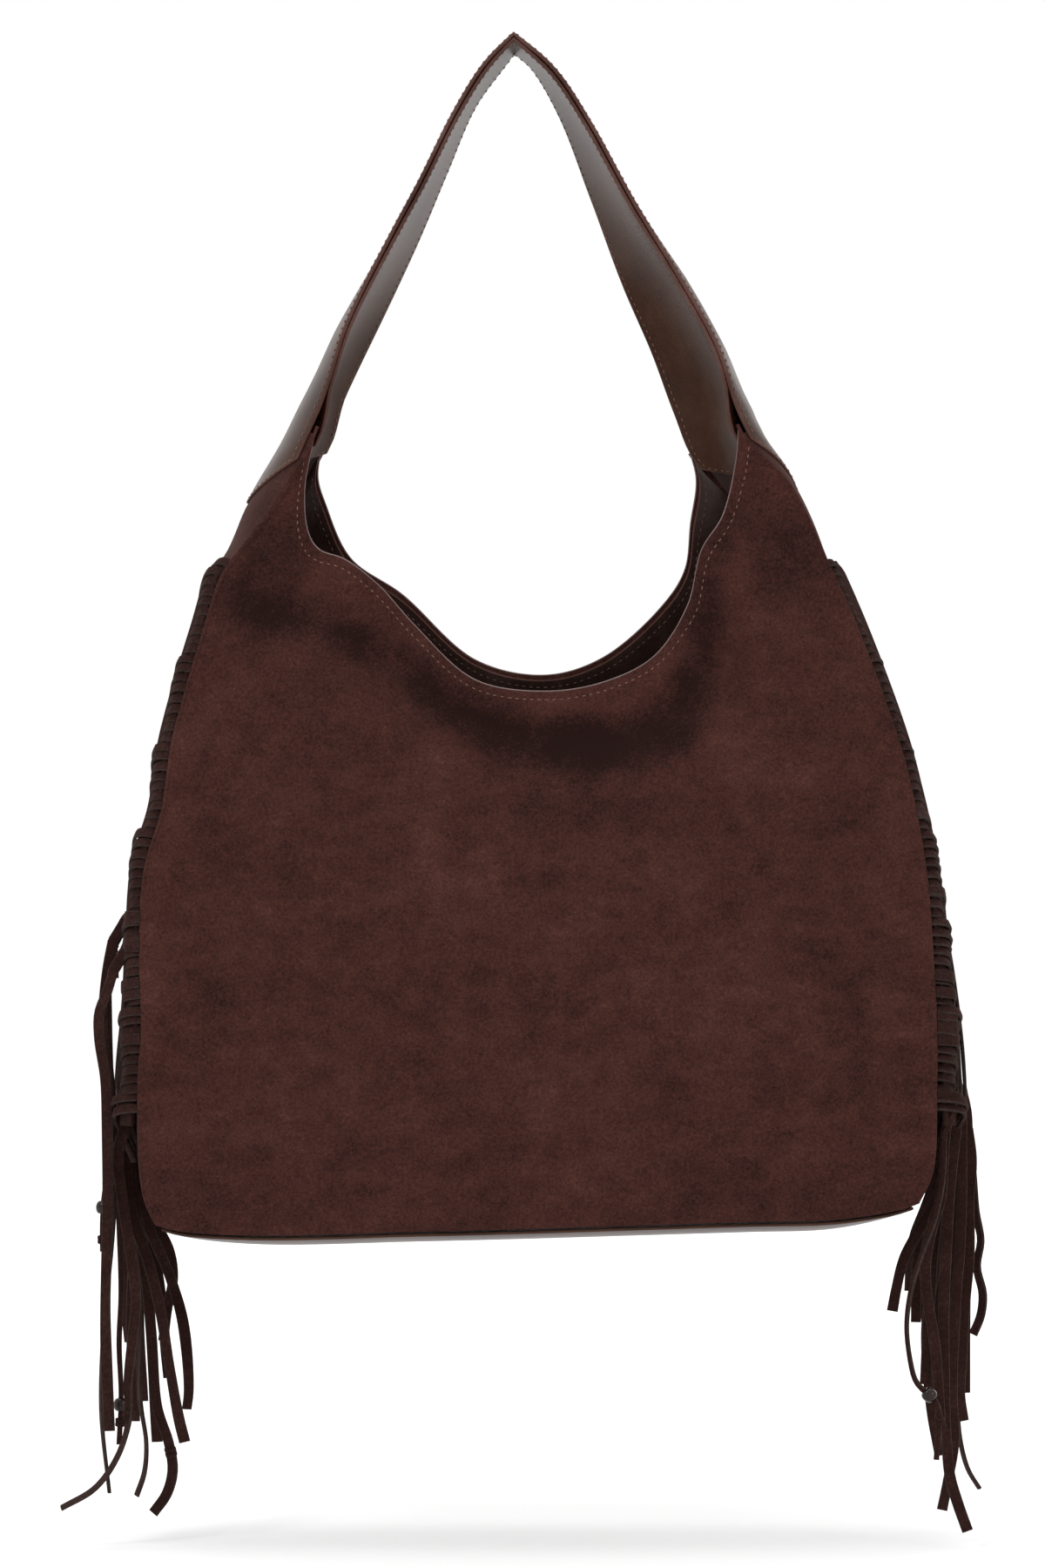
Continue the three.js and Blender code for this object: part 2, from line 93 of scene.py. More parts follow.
# Details that only this model has.
RIB_COUNT = 57
RIB_WIDTH, RIB_THICK = 4.6, 1.7
SLIM_HEIGHT, SLIM_REACH = -284, 13  # where the ribs lie flatter
UNDER_STRIP_WIDTH, UNDER_STRIP_THICK = 11, 2.4
SEAM_RADIUS, SEAM_INSET = 0.9, 0.85
EDGE_RADIUS, EDGE_LIFT = 0.4, 0.35  # the pale edge along the mouth, its paleness partly a painted highlight
STITCH_PITCH, STITCH_LENGTH = 3.8, 2.1
STITCH_WIDTH, STITCH_THICK = 0.55, 0.5
STITCH_LIFT = 0.02
MOUTH_ROW, MOUTH_ROW_SPREAD = 4.1, 0.9  # from the mouth's edge to its stitches, and what the horns add
STRAP_ROW = 2.3  # from a strap layer's edge to its stitches
CREASE_DEPTH, CREASE_HALF_WIDTH = 31, 11  # the groove below the mouth's edge
RIPPLE_HEIGHT = 0.28

LEFT_FRONT = [
    (0, -30, 3), (-14, -30, -12), (-29, -30, -36), (-47, -30, -72), (-62, -30, -100), (-84, -30, -145),
    (-93, -30, -174), (-101, -30, -196), (-109, -31, -214), (-124, -33, -239), (-133, -37, -251),
    (-148, -43, -272), (-157, -47, -299), (-173, -54, -357), (-178, -57, -392), (-187, -59, -423),
    (-189, -61, -476), (-188, -62, -500), (-190, -62, -535), (-187, -62, -588), (-181, -61, -602),
]
LEFT_BACK = [
    (0, 30, 3), (-21, 30, -25), (-36, 30, -60), (-50, 30, -94), (-67, 30, -132), (-84, 30, -168),
    (-94, 30, -190), (-102, 31, -209), (-115, 33, -229), (-128, 37, -248), (-143, 43, -270),
    (-153, 47, -296), (-171, 54, -356), (-186, 59, -423), (-189, 61, -476), (-189, 62, -535),
    (-187, 62, -588), (-181, 61, -602),
]
RIGHT_FRONT = [
    (0, -30, 3), (20, -30, -15), (38, -30, -42), (61, -30, -84), (81, -30, -117), (103, -30, -157),
    (113, -30, -190), (120, -31, -204), (141, -33, -226), (154, -38, -251), (161, -43, -268),
    (173, -47, -295), (194, -54, -353), (201, -57, -379), (209, -59, -423), (212, -61, -462),
    (214, -62, -502), (214, -62, -530), (212, -62, -575), (205, -61, -591),
]
RIGHT_BACK = [
    (0, 30, 3), (10, 30, -5), (25, 30, -31), (41, 30, -74), (58, 30, -122), (72, 30, -155), (84, 30, -188),
    (94, 31, -209), (116, 33, -232), (136, 38, -255), (149, 43, -274), (163, 47, -299), (188, 54, -353),
    (207, 59, -423), (213, 61, -484), (214, 62, -530), (212, 62, -575), (205, 61, -591),
]
LEFT_ARCH = [
    (0, 0), (-94, 2), (-120, 5), (-150, 9), (-190, 13), (-214, 13.5), (-243, 13), (-262, 8),
    (-300, 5), (-602, 3),
]
RIGHT_ARCH = [
    (0, 0), (-60, 3), (-100, 8), (-122, 12), (-146, 13), (-160, 14.5), (-190, 18), (-204, 16.8),
    (-214, 13.2), (-228, 9.4), (-250, 6.5), (-290, 3), (-591, 2),
]
FRONT_MOUTH = [
    (-101, -29, -196), (-107, -29, -229), (-105, -31, -251), (-99, -36, -260), (-86, -38, -265),
    (-69, -34, -278), (-51, -30, -298), (-20, -25, -326), (16, -24, -332), (47, -27, -327),
    (72, -31, -314), (89, -32, -288), (96, -32, -260), (107, -31, -242), (114, -30, -212), (115, -30, -195),
]
BACK_MOUTH = [
    (-100, 29, -203), (-102, 29, -220), (-98, 29, -234), (-85, 27, -262), (-58, 24, -281), (-20, 21, -315),
    (16, 20, -323), (46, 21, -314), (77, 25, -287), (89, 28, -268), (92, 29, -244), (95, 30, -221),
    (91, 30, -204),
]
FRONT_BASE = [
    (-181, -61, -602), (-169, -62, -605), (-127, -64, -607), (-53, -66, -605), (-13, -67, -604),
    (119, -65, -600), (163, -63, -599), (196, -62, -594), (205, -61, -591),
]
BACK_BASE = [
    (-181, 61, -602), (-127, 64, -605), (-13, 67, -603), (119, 65, -600), (163, 63, -599), (205, 61, -591),
]

# Each thong: its lane from front to back, its route down as (X, Z), and its turns in degrees, which only
# this model has.
LEFT_FRINGE = [
    (-50, [(-203, -474), (-206, -484), (-210, -495), (-210, -508), (-207, -528), (-206, -550), (-206, -600),
           (-207, -650), (-205, -707)], (20, 0, 0)),
    (-36, [(-204, -459), (-207, -475), (-209, -495), (-208, -512), (-206, -532), (-206, -560), (-205, -602),
           (-209, -656), (-210, -700), (-206, -740)], (0, 10, 70, 80)),
    (-43, [(-198, -555), (-201, -567), (-199, -589), (-195, -616), (-192, -640), (-194, -663), (-196, -684),
           (-196, -704), (-202, -722), (-213, -737), (-230, -747)], (0, 0, 10, 70, 75)),
    (-29, [(-196, -556), (-197, -580), (-194, -601), (-187, -622), (-181, -645), (-176, -675), (-171, -703),
           (-168, -715)], (0, -15, 5)),
    (-15, [(-199, -556), (-197, -585), (-193, -604), (-188, -637), (-186, -661), (-183, -698), (-177, -717),
           (-175, -731), (-178, -743), (-185, -753)], (0, 10, 0, 30)),
    (-8, [(-204, -557), (-200, -590), (-195, -621), (-192, -657), (-192, -696), (-189, -718), (-190, -733),
          (-194, -745)], (0, 20, 75, 70)),
    (6, [(-199, -556), (-196, -585), (-189, -607), (-179, -630), (-172, -652), (-169, -672), (-168, -693),
         (-169, -702)], (0, 10, -40)),
    (20, [(-199, -556), (-195, -585), (-187, -605), (-179, -621), (-177, -636), (-180, -652), (-182, -668)],
     (0, -20, 10)),
    (27, [(-200, -556), (-199, -600), (-196, -640), (-194, -680), (-193, -700)], (0, 15)),
    (34, [(-199, -556), (-196, -600), (-191, -640), (-188, -690), (-186, -722)], (0, -20, 10)),
    (41, [(-198, -556), (-198, -610), (-200, -660), (-198, -712)], (0, 20)),
    (48, [(-197, -556), (-194, -600), (-186, -640), (-182, -680), (-181, -690)], (0, -10)),
    (55, [(-200, -556), (-204, -600), (-204, -650), (-202, -672)], (0, 25)),
]
LEFT_LACES = [
    (-22, [(-204, -462), (-207, -480), (-207, -500), (-206, -530), (-204, -570), (-202, -603), (-201, -640),
           (-202, -665), (-201, -692), (-202, -717)], (0, 20, 0)),
    (-1, [(-206, -557), (-208, -575), (-211, -590), (-212, -605), (-212, -620)], (0, 30)),
]
RIGHT_FRINGE = [
    (-47, [(219, -556), (218, -572), (217, -588), (212, -605), (209, -622), (210, -640), (214, -665),
           (217, -706)], (0, 8, 0)),
    (-40, [(225, -556), (223, -575), (221, -600), (219, -639), (219, -675), (220, -708), (222, -731),
           (226, -745), (231, -759)], (0, 0, -8, 0)),
    (-33, [(220, -556), (219, -578), (216, -600), (213, -628), (211, -662), (210, -685)], (0, 15, -10)),
    (-26, [(229, -556), (229, -589), (228, -619), (226, -641), (224, -690), (225, -716), (222, -735),
           (219, -750)], (0, -12, 0)),
    (-19, [(221, -556), (220, -575), (216, -593), (208, -607), (200, -622), (196, -638), (194, -649)],
     (0, 10, 0)),
    (-12, [(233, -556), (235, -572), (234, -594), (234, -620), (232, -645), (230, -672), (229, -692),
           (231, -706)], (0, 10, -15)),
    (-5, [(223, -556), (220, -580), (214, -601), (208, -625), (207, -656)], (0, 0)),
    (2, [(234, -557), (236, -580), (238, -599), (241, -614), (239, -628), (242, -642), (241, -653),
         (237, -663)], (0, 60, 40)),
    (9, [(221, -556), (219, -580), (213, -598), (207, -613), (205, -625), (204, -641)], (0, -50)),
    (16, [(226, -556), (224, -590), (218, -630), (214, -660), (216, -700), (221, -727)], (0, 15)),
    (23, [(231, -556), (230, -600), (229, -650), (230, -695), (232, -720), (236, -735), (242, -745)],
     (0, 10, 75, 80)),
    (30, [(235, -556), (235, -600), (235, -650), (235, -696)], (0, -20)),
    (37, [(226, -556), (224, -600), (222, -650), (221, -690), (223, -718)], (0, 20)),
    (44, [(220, -556), (220, -590), (218, -630), (219, -660), (221, -700)], (0, -15)),
    (51, [(219, -556), (218, -600), (215, -640), (217, -668)], (0, 15)),
]
RIGHT_LACES = [
    (-55, [(218, -556), (217, -580), (213, -600), (206, -619), (201, -636), (199, -654), (201, -672),
           (203.5, -681), (207, -685.4), (213, -690.6), (215.5, -698), (215, -708), (214, -721)],
     (0, 60, 50, 0)),
]

# Each bead's place down its lace, as a share of its length.
LEFT_BEADS = [0.92, 0.64]
RIGHT_BEADS = [0.8]

# Soft folds of a panel, only in this model: middle X and Z, angle in degrees, half length, half width,
# and how far it stands out.
FRONT_FOLDS = [
    (104, -308, 108, 36, 8, -5.0), (88, -316, 100, 30, 9, 2.5), (66, -349, 18, 36, 10, -3.2),
    (-128, -284, 100, 26, 11, -3.0), (-45, -338, -36, 62, 15, -3.4), (-182, -520, 88, 34, 4, 1.8),
    (-174, -520, 88, 34, 5, -1.8), (-60, -450, 24, 110, 34, 3.0), (90, -470, -28, 90, 30, -2.6),
    (130, -400, 70, 60, 22, 2.4), (-140, -400, 75, 60, 16, -2.2), (10, -560, 4, 120, 18, -1.6),
]
BACK_FOLDS = [
    (-92, -300, 70, 34, 9, -4.0), (60, -345, 20, 50, 14, -3.0), (120, -290, 98, 26, 11, -3.0),
    (-60, -440, -24, 110, 34, 3.0), (90, -480, 30, 90, 30, -2.6), (0, -560, -4, 120, 18, -1.6),
]

# ---------- curves and surfaces ----------


class Curve:
    """A smooth curve through points, followed by share of its length."""

    def __init__(self, points, fine=24):
        p = np.array(points, float)
        ends = np.vstack([2 * p[0] - p[1], p, 2 * p[-1] - p[-2]])
        t = np.linspace(0, 1, fine, endpoint=False)[:, None]
        pieces = []
        for i in range(len(p) - 1):
            a, b, c, d = ends[i : i + 4]
            s0, s1, s2 = (np.linalg.norm(q - r) ** 0.5 for q, r in ((b, a), (c, b), (d, c)))
            m1 = ((b - a) / s0 - (c - a) / (s0 + s1) + (c - b) / s1) * s1
            m2 = ((c - b) / s1 - (d - b) / (s1 + s2) + (d - c) / s2) * s1
            h = (2 * t**3 - 3 * t**2 + 1) * b + (t**3 - 2 * t**2 + t) * m1
            pieces.append(h + (3 * t**2 - 2 * t**3) * c + (t**3 - t**2) * m2)
        self.points = np.vstack(pieces + [p[-1:]])
        self.run = np.concatenate([[0], np.cumsum(np.linalg.norm(np.diff(self.points, axis=0), axis=1))])
        self.length = self.run[-1]

    def at(self, share):
        along = np.clip(np.asarray(share, float), 0, 1) * self.length
        return np.stack([np.interp(along, self.run, self.points[:, k]) for k in range(3)], axis=-1)


def smoothstep(x, low, high):
    t = np.clip((np.asarray(x, float) - low) / (high - low), 0, 1)
    return t * t * (3 - 2 * t)


def lerp(a, b, t):
    return a + (b - a) * t


def unit(v):
    return v / np.maximum(np.linalg.norm(v, axis=-1, keepdims=True), 1e-9)


def profile(pairs, height):
    z, value = np.array(pairs, float).T
    return np.interp(-np.asarray(height, float), -z, value)


class Side:
    """One side of the bag: its two rails run from the strap's top to the bottom corner.

    ends are the heights where the strap's layers end: the outer one's edges and tip, then the inner one's.
    rib is how far the lacing stands out by height, horn is the height of the mouth's end, and slim is how
    much flatter the top ribs lie.
    """

    def __init__(self, name, sign, front, back, arch, ends, rib, horn, slim):
        self.name, self.sign, self.arch, self.rib, self.slim = name, sign, arch, rib, slim
        self.front, self.back = Curve(front), Curve(back)
        self.strap_end, self.tongue_tip, self.inner_end, self.inner_tip = ends
        self.horn = self.share(horn)

    def share(self, height):
        rail = self.front
        return np.interp(-np.asarray(height, float), -rail.points[:, 2], rail.run) / rail.length

    def outward(self, share):
        below, above = np.minimum(1, share + 0.01), np.maximum(0, share - 0.01)
        down = (self.front.at(below) + self.back.at(below)) - (self.front.at(above) + self.back.at(above))
        away = unit(np.stack([-self.sign * down[..., 2], 0 * down[..., 2], self.sign * down[..., 0]], -1))
        turned = smoothstep(share, 0, 0.04)[..., None]
        return unit(lerp(np.array([0.0, 0, 1]), away, turned))

    def skin(self, share, width, offset=0.0):
        """A point of the side: share is how far down, width is -1 in front to 1 behind, offset is outward."""
        share, width, offset = (np.asarray(a, float) for a in np.broadcast_arrays(share, width, offset))
        front = self.front.at(share)
        rise = profile(self.arch, front[..., 2]) * (1 - width**2) + offset
        point = front + (self.back.at(share) - front) * ((1 + width) / 2)[..., None]
        return point + self.outward(share) * rise[..., None]

    def depth(self, share):
        return np.abs(self.front.at(share)[..., 1])


LEFT = Side("left", -1, LEFT_FRONT, LEFT_BACK, LEFT_ARCH, (-214, -243, -204, -214),
            [(-268, 4), (-400, 5), (-450, 5), (-520, 8), (-552, 9)], -196, 0.2)
RIGHT = Side("right", 1, RIGHT_FRONT, RIGHT_BACK, RIGHT_ARCH, (-204, -244, -204, -218),
             [(-268, 3), (-380, 3), (-420, 5), (-490, 8), (-552, 11)], -195, 0.9)

waves = np.random.default_rng(5)
RIPPLES = [(waves.uniform(0, 6.3), waves.uniform(0, 6.3), waves.uniform(45, 130)) for _ in range(10)]


class Panel:
    """The front or back panel: u goes from the left seam to the right one, v from the base to the mouth.

    crease is the depth of the groove below the mouth's edge.
    """

    def __init__(self, name, sign, rail, mouth, base, folds, crease):
        self.name, self.sign, self.rail, self.folds, self.crease = name, sign, rail, folds, crease
        self.mouth, self.base = Curve(mouth), Curve(base)

    def seam(self, side, v):
        return getattr(side, self.rail).at(lerp(1, side.horn, np.asarray(v, float)))

    def skin(self, u, v, depth=0.0):
        u, v, depth = (np.asarray(a, float) for a in np.broadcast_arrays(u, v, depth))
        s, t = u[..., None], v[..., None]
        point = lerp(self.seam(LEFT, v), self.seam(RIGHT, v), s) + lerp(self.base.at(u), self.mouth.at(u), t)
        low = lerp(self.seam(LEFT, 0), self.seam(RIGHT, 0), s)
        high = lerp(self.seam(LEFT, 1), self.seam(RIGHT, 1), s)
        point = point - lerp(low, high, t)
        stand = PANEL_BULGE * 16 * u * (1 - u) * v * (1 - v) - depth
        point[..., 1] += self.sign * (stand + self.soft(point[..., 0], point[..., 2], u, v))
        return point

    def soft(self, x, z, u, v):
        """How far folds, ripples and the groove move a point out."""
        out = np.zeros_like(x)
        for cx, cz, angle, half, wide, height in self.folds:
            a = math.radians(angle)
            along = (x - cx) * math.cos(a) + (z - cz) * math.sin(a)
            across = (z - cz) * math.cos(a) - (x - cx) * math.sin(a)
            out += height * np.exp(-((along / half) ** 2) - (across / wide) ** 2)
        for direction, phase, length in RIPPLES:
            along = x * math.cos(direction) + z * math.sin(direction)
            out += RIPPLE_HEIGHT * np.sin(along * 2 * math.pi / length + phase)
        below_mouth = (1 - v) * 300
        crease = self.crease * np.exp(-(((below_mouth - CREASE_DEPTH) / CREASE_HALF_WIDTH) ** 2))
        out -= crease * smoothstep(u, 0.1, 0.3) * smoothstep(1 - u, 0.08, 0.22)
        held = smoothstep(u, 0, 0.03) * smoothstep(1 - u, 0, 0.03) * smoothstep(v, 0, 0.04)
        return out * held * (1 - 0.6 * smoothstep(v, 0.93, 1))


FRONT = Panel("front", -1, "front", FRONT_MOUTH, FRONT_BASE, FRONT_FOLDS, 2.2)
BACK = Panel("back", 1, "back", BACK_MOUTH, BACK_BASE, BACK_FOLDS, 1.2)


# ---------- meshes ----------


class Shape:
    """Gathers points and faces, then makes one Blender mesh of them."""

    def __init__(self):
        self.points, self.faces, self.slots = [], [], []

    def add(self, points, faces, slot=0):
        start = len(self.points)
        self.points.extend(map(tuple, np.asarray(points) * 0.001))
        self.faces.extend(tuple(start + i for i in face) for face in faces)
        self.slots.extend(slot if isinstance(slot, list) else [slot] * len(faces))

    def build(self, name, *materials, sharp=50, weld=False):
        mesh = bpy.data.meshes.new(name)
        mesh.from_pydata(self.points, [], self.faces)
        for material in materials:
            mesh.materials.append(material)
        mesh.polygons.foreach_set("material_index", self.slots)
        work = bmesh.new()
        work.from_mesh(mesh)
        if weld:
            bmesh.ops.remove_doubles(work, verts=work.verts, dist=1e-6)
        bmesh.ops.recalc_face_normals(work, faces=work.faces)
        work.to_mesh(mesh)
        work.free()
        mesh.shade_smooth()
        mesh.set_sharp_from_angle(angle=math.radians(sharp))
        return add_object(name, mesh)


def rimmed(count, length, radius):
    """Shares along a length, close together over each rounded rim."""
    rim = np.array([0, 0.06, 0.25, 0.6, 1.0, 1.8]) * radius / length
    return np.concatenate([rim[:-1], np.linspace(rim[-1], 1 - rim[-1], count), 1 - rim[-2::-1]])


def run_length(points, axis):
    steps = np.linalg.norm(np.diff(points, axis=axis), axis=-1)
    run = np.cumsum(steps, axis=axis)
    zero = np.zeros_like(np.take(run, [0], axis=axis))
    return np.concatenate([zero, run], axis=axis)


def shell(shape, middle, thickness, rim_slot=0, rim_reach=0.6, top_only=False):
    """A sheet with rounded rims around the grid of points of its middle surface.

    thickness is a number or a grid. Faces within rim_reach of a rim, or of the last row only, get rim_slot.
    """
    n, m = middle.shape[:2]
    across, along = run_length(middle, 0), run_length(middle, 1)
    near = np.minimum(np.minimum(across, across[-1:] - across), np.minimum(along, along[:, -1:] - along))
    radius = thickness / 2
    full = np.sqrt(np.maximum(0, 1 - (1 - np.minimum(near / radius, 1)) ** 2))
    normal = unit(np.cross(np.gradient(middle, axis=0), np.gradient(middle, axis=1)))
    lift = normal * (radius * full)[..., None]
    points = np.concatenate([(middle + lift).reshape(-1, 3), (middle - lift).reshape(-1, 3)])
    edge = along[:, -1:] - along if top_only else near
    faces, slots = [], []
    for side in (0, 1):
        for i in range(n - 1):
            for j in range(m - 1):
                a = side * n * m + i * m + j
                faces.append((a, a + m, a + m + 1, a + 1))
                slots.append(rim_slot if edge[i : i + 2, j : j + 2].min() < rim_reach else 0)
    shape.add(points, faces, slots)


def band(low, high, count):
    """The faces between two rings of count points, given by the rings' numbers."""
    a, b = low * count, high * count
    return [(a + i, a + (i + 1) % count, b + (i + 1) % count, b + i) for i in range(count)]


def strip_section(rounded):
    if rounded:
        angles = np.linspace(0, 2 * math.pi, 10, endpoint=False)
        return np.stack([np.cos(angles), np.sin(angles)], 1)
    half = [(1, -0.45), (0.88, -1), (0.3, -1.12), (-0.3, -1.12), (-0.88, -1), (-1, -0.45)]
    return np.array(half + [(-a, -b) for a, b in half])


def ribbon(shape, path, facing, width, thickness, twist=(0, 0), rounded=False, narrow=None, cut_slot=0):
    """A flat strip along a path. facing is the way its broad face looks before twist turns it, in degrees.

    narrow scales the strip along its path, and cut_slot is the material of its cut sides and ends.
    """
    path = np.asarray(path, float)
    tangent = unit(np.gradient(path, axis=0))
    facing = np.broadcast_to(np.asarray(facing, float), path.shape)
    wide = unit(np.cross(facing, tangent))
    thin = np.cross(tangent, wide)
    angle = np.radians(np.interp(np.linspace(0, 1, len(path)), np.linspace(0, 1, len(twist)), twist))[:, None]
    wide, thin = wide * np.cos(angle) + thin * np.sin(angle), thin * np.cos(angle) - wide * np.sin(angle)
    section = strip_section(rounded)
    scale = np.ones(len(path)) if narrow is None else narrow
    rings = [
        p + (a * width / 2 * w + b * thickness / 2 * t) * k
        for p, w, t, k in zip(path, wide, thin, scale)
        for a, b in section
    ]
    count, last = len(section), len(path) - 1
    faces = [face for i in range(last) for face in band(i, i + 1, count)]
    faces += [tuple(range(count)), tuple(range(last * count, (last + 1) * count))]
    slots = [0 if rounded or j % 6 in (1, 2, 3) else cut_slot for j in range(count)] * last
    shape.add(rings, faces, slots + [cut_slot] * 2)


def tube(shape, path, radius):
    ribbon(shape, path, (0, 1, 0.01), 2 * radius, 2 * radius, rounded=True)


def stitches(shape, line, facing):
    """A row of stitches along a line of points on a surface that faces the given way."""
    run = run_length(line, 0)
    facing = np.broadcast_to(facing, line.shape)
    count = int(run[-1] / STITCH_PITCH)
    pitch = run[-1] / count
    lift, narrow = (-0.35, 0.08, 0.18, 0.08, -0.35), (0.55, 0.95, 1, 0.95, 0.55)

    def pick(values, at):
        return np.array([np.interp(at, run, values[:, k]) for k in range(3)])

    for i in range(count):
        middle = (i + 0.5) * pitch + random.uniform(-0.15, 0.15)
        half = STITCH_LENGTH / 2 * random.uniform(0.88, 1.08)
        along = np.linspace(middle - half, middle + half, len(lift))
        points = np.array([pick(line, a) + unit(pick(facing, a)) * b for a, b in zip(along, lift)])
        ribbon(shape, points, pick(facing, middle), STITCH_WIDTH, STITCH_THICK, rounded=True, narrow=narrow)


# ---------- materials ----------


class Material:
    """Builds a procedural material around one Principled shader. Coordinates are in metres."""

    def __init__(self, name, **settings):
        self.material = bpy.data.materials.new(name)
        self.material.use_nodes = True
        self.tree = self.material.node_tree
        self.shader = self.tree.nodes["Principled BSDF"]
        self.place = self.node("ShaderNodeTexCoord", {}).outputs["Object"]
        self.fill(self.shader, {key.replace("_", " "): value for key, value in settings.items()})

    def fill(self, node, inputs):
        """Sets a node's inputs, each to a value or to another node's output."""
        for key, value in inputs.items():
            if isinstance(value, bpy.types.NodeSocket):
                self.tree.links.new(value, node.inputs[key])
            else:
                node.inputs[key].default_value = value

    def node(self, kind, inputs, **settings):
        node = self.tree.nodes.new(kind)
        for key, value in settings.items():
            setattr(node, key, value)
        self.fill(node, inputs)
        return node

    def noise(self, scale, detail, roughness=0.5, stretch=None):
        place = self.place
        if stretch:
            place = self.node("ShaderNodeMapping", {"Scale": stretch, "Vector": place}).outputs["Vector"]
        inputs = {"Scale": scale, "Detail": detail, "Roughness": roughness, "Vector": place}
        return self.node("ShaderNodeTexNoise", inputs).outputs["Fac"]

    def cells(self, scale):
        return self.node("ShaderNodeTexVoronoi", {"Scale": scale, "Vector": self.place}).outputs["Distance"]

    def wave(self, scale, direction):
        inputs = {"Scale": scale, "Vector": self.place}
        return self.node("ShaderNodeTexWave", inputs, bands_direction=direction).outputs["Fac"]

    def spot(self, middle, reach, angle, depth):
        """As much as depth around a place in the XZ plane, fading softly to 0 at its reach."""
        inputs = {"Location": [a * 0.001 for a in middle], "Rotation": (0, math.radians(-angle), 0),
                  "Scale": [a * 0.001 for a in reach], "Vector": self.place}
        shift = self.node("ShaderNodeMapping", inputs, vector_type="TEXTURE").outputs["Vector"]
        ball = self.node("ShaderNodeTexGradient", {"Vector": shift}, gradient_type="SPHERICAL")
        inputs = {"Value": ball.outputs["Fac"], "From Max": 0.95, "To Max": depth}
        return self.node("ShaderNodeMapRange", inputs, interpolation_type="SMOOTHSTEP").outputs["Result"]

    def calculate(self, operation, *values):
        return self.node("ShaderNodeMath", dict(enumerate(values)), operation=operation).outputs[0]

    def deepest(self, outputs, blend=0.12):
        """The largest of the outputs, softly joined."""
        total = outputs[0]
        for output in outputs[1:]:
            total = self.calculate("SMOOTH_MAX", total, output, blend)
        return total

    def weigh(self, *pairs):
        """The sum of outputs, each times its weight."""
        total = 0
        for output, weight in pairs:
            total = self.calculate("MULTIPLY_ADD", output, weight, total)
        return total

    def colour(self, output, *stops):
        """Colours the surface by an output, from stops of a position and a colour."""
        node = self.node("ShaderNodeValToRGB", {"Fac": output})
        elements = node.color_ramp.elements
        while len(elements) < len(stops):
            elements.new(0.5)
        for element, (position, colour) in zip(elements, stops):
            element.position = position
            element.color = (*colour, 1)
        self.fill(self.shader, {"Base Color": node.outputs["Color"]})

    def rough(self, output, low, high):
        node = self.node("ShaderNodeMapRange", {"Value": output, "To Min": low, "To Max": high})
        self.fill(self.shader, {"Roughness": node.outputs["Result"]})

    def bump(self, output, height, strength=1.0):
        inputs = {"Strength": strength, "Distance": height * 0.001, "Height": output}
        node = self.node("ShaderNodeBump", inputs)
        self.fill(self.shader, {"Normal": node.outputs["Normal"]})


DARK_SPOT_MIDDLE, DARK_SPOT_REACH = -30, 110  # the middle and reach in Y of the places painted darker, partly nap and partly painted shade


def suede_material(name, dark, middle, light, patch=1.0, sheen=0.08, nap_and_shade=()):
    """The places listed last are painted darker, partly as darker nap and partly as painted shade of folds
    and of the groove below the mouth: X, Z, half length, half width, angle, and depth.
    """
    m = Material(name, Specular_IOR_Level=0.08, Sheen_Weight=sheen, Sheen_Roughness=0.4,
                 Sheen_Tint=(0.8, 0.45, 0.4, 1))
    patches, streaks = m.noise(15, 4, 0.6, (1, 1, 1.3)), m.noise(62, 5, 0.66, (1, 1, 1.3))
    nap, fibre = m.noise(700, 3, 0.7), m.noise(2200, 2, 0.6)
    weights = (0.30 * patch, 0.34 * patch, 0.56, 0.34)
    parts = list(zip((patches, streaks, nap, fibre), weights))
    if nap_and_shade:
        spots = [m.spot((x, DARK_SPOT_MIDDLE, z), (long, DARK_SPOT_REACH, wide), *rest)
                 for x, z, long, wide, *rest in nap_and_shade]
        # Painted shade with darker nap: the colour is darkened at these places, where folds and the groove
        # below the mouth lie in shade.
        parts.append((m.deepest(spots), -1.0))
    centre = sum(weights) / 2
    m.colour(m.weigh(*parts), (centre - 0.26, dark), (centre, middle), (centre + 0.22, light))
    m.rough(nap, 0.86, 1.0)
    m.bump(m.weigh((nap, 0.6), (fibre, 0.5), (streaks, 0.5)), 0.35, 0.75)
    return m.material


def leather_material(name, dark, middle, light, gloss, low=0.27, high=0.4, grain=0.06):
    """low and high are the range of its roughness, and grain is the height of its bump in millimetres."""
    m = Material(name, Specular_IOR_Level=gloss)
    cloud, fine = m.noise(26, 3, 0.5), m.noise(900, 3, 0.6)
    grains, wrinkle = m.cells(1500), m.noise(150, 3, 0.55)
    mix = m.weigh((cloud, 0.7), (fine, 0.3), (wrinkle, 0.25))
    m.colour(mix, (0.42, dark), (0.62, middle), (0.85, light))
    m.rough(m.weigh((fine, 0.5), (wrinkle, 0.5)), low, high)
    m.bump(m.weigh((grains, 0.8), (fine, 0.35), (wrinkle, 1.2)), grain, 0.8)
    return m.material


def thread_material(name, dark, light):
    m = Material(name, Specular_IOR_Level=0.3, Sheen_Weight=0.2)
    ply, shade = m.noise(3000, 2), m.noise(300, 2)
    m.colour(m.weigh((shade, 0.7), (ply, 0.5)), (0.4, dark), (0.8, light))
    m.rough(ply, 0.55, 0.8)
    m.bump(ply, 0.15)
    return m.material


def lining_material():
    m = Material("lining_weave", Specular_IOR_Level=0.25, Sheen_Weight=0.15)
    weave = m.weigh((m.wave(420, "X"), 0.5), (m.wave(420, "Z"), 0.5))
    cloud = m.noise(40, 3)
    mix = m.weigh((weave, 0.5), (cloud, 0.5))
    m.colour(mix, (0.3, (0.006, 0.0045, 0.004)), (0.75, (0.016, 0.012, 0.011)))
    m.rough(weave, 0.65, 0.85)
    m.bump(weave, 0.12)
    return m.material


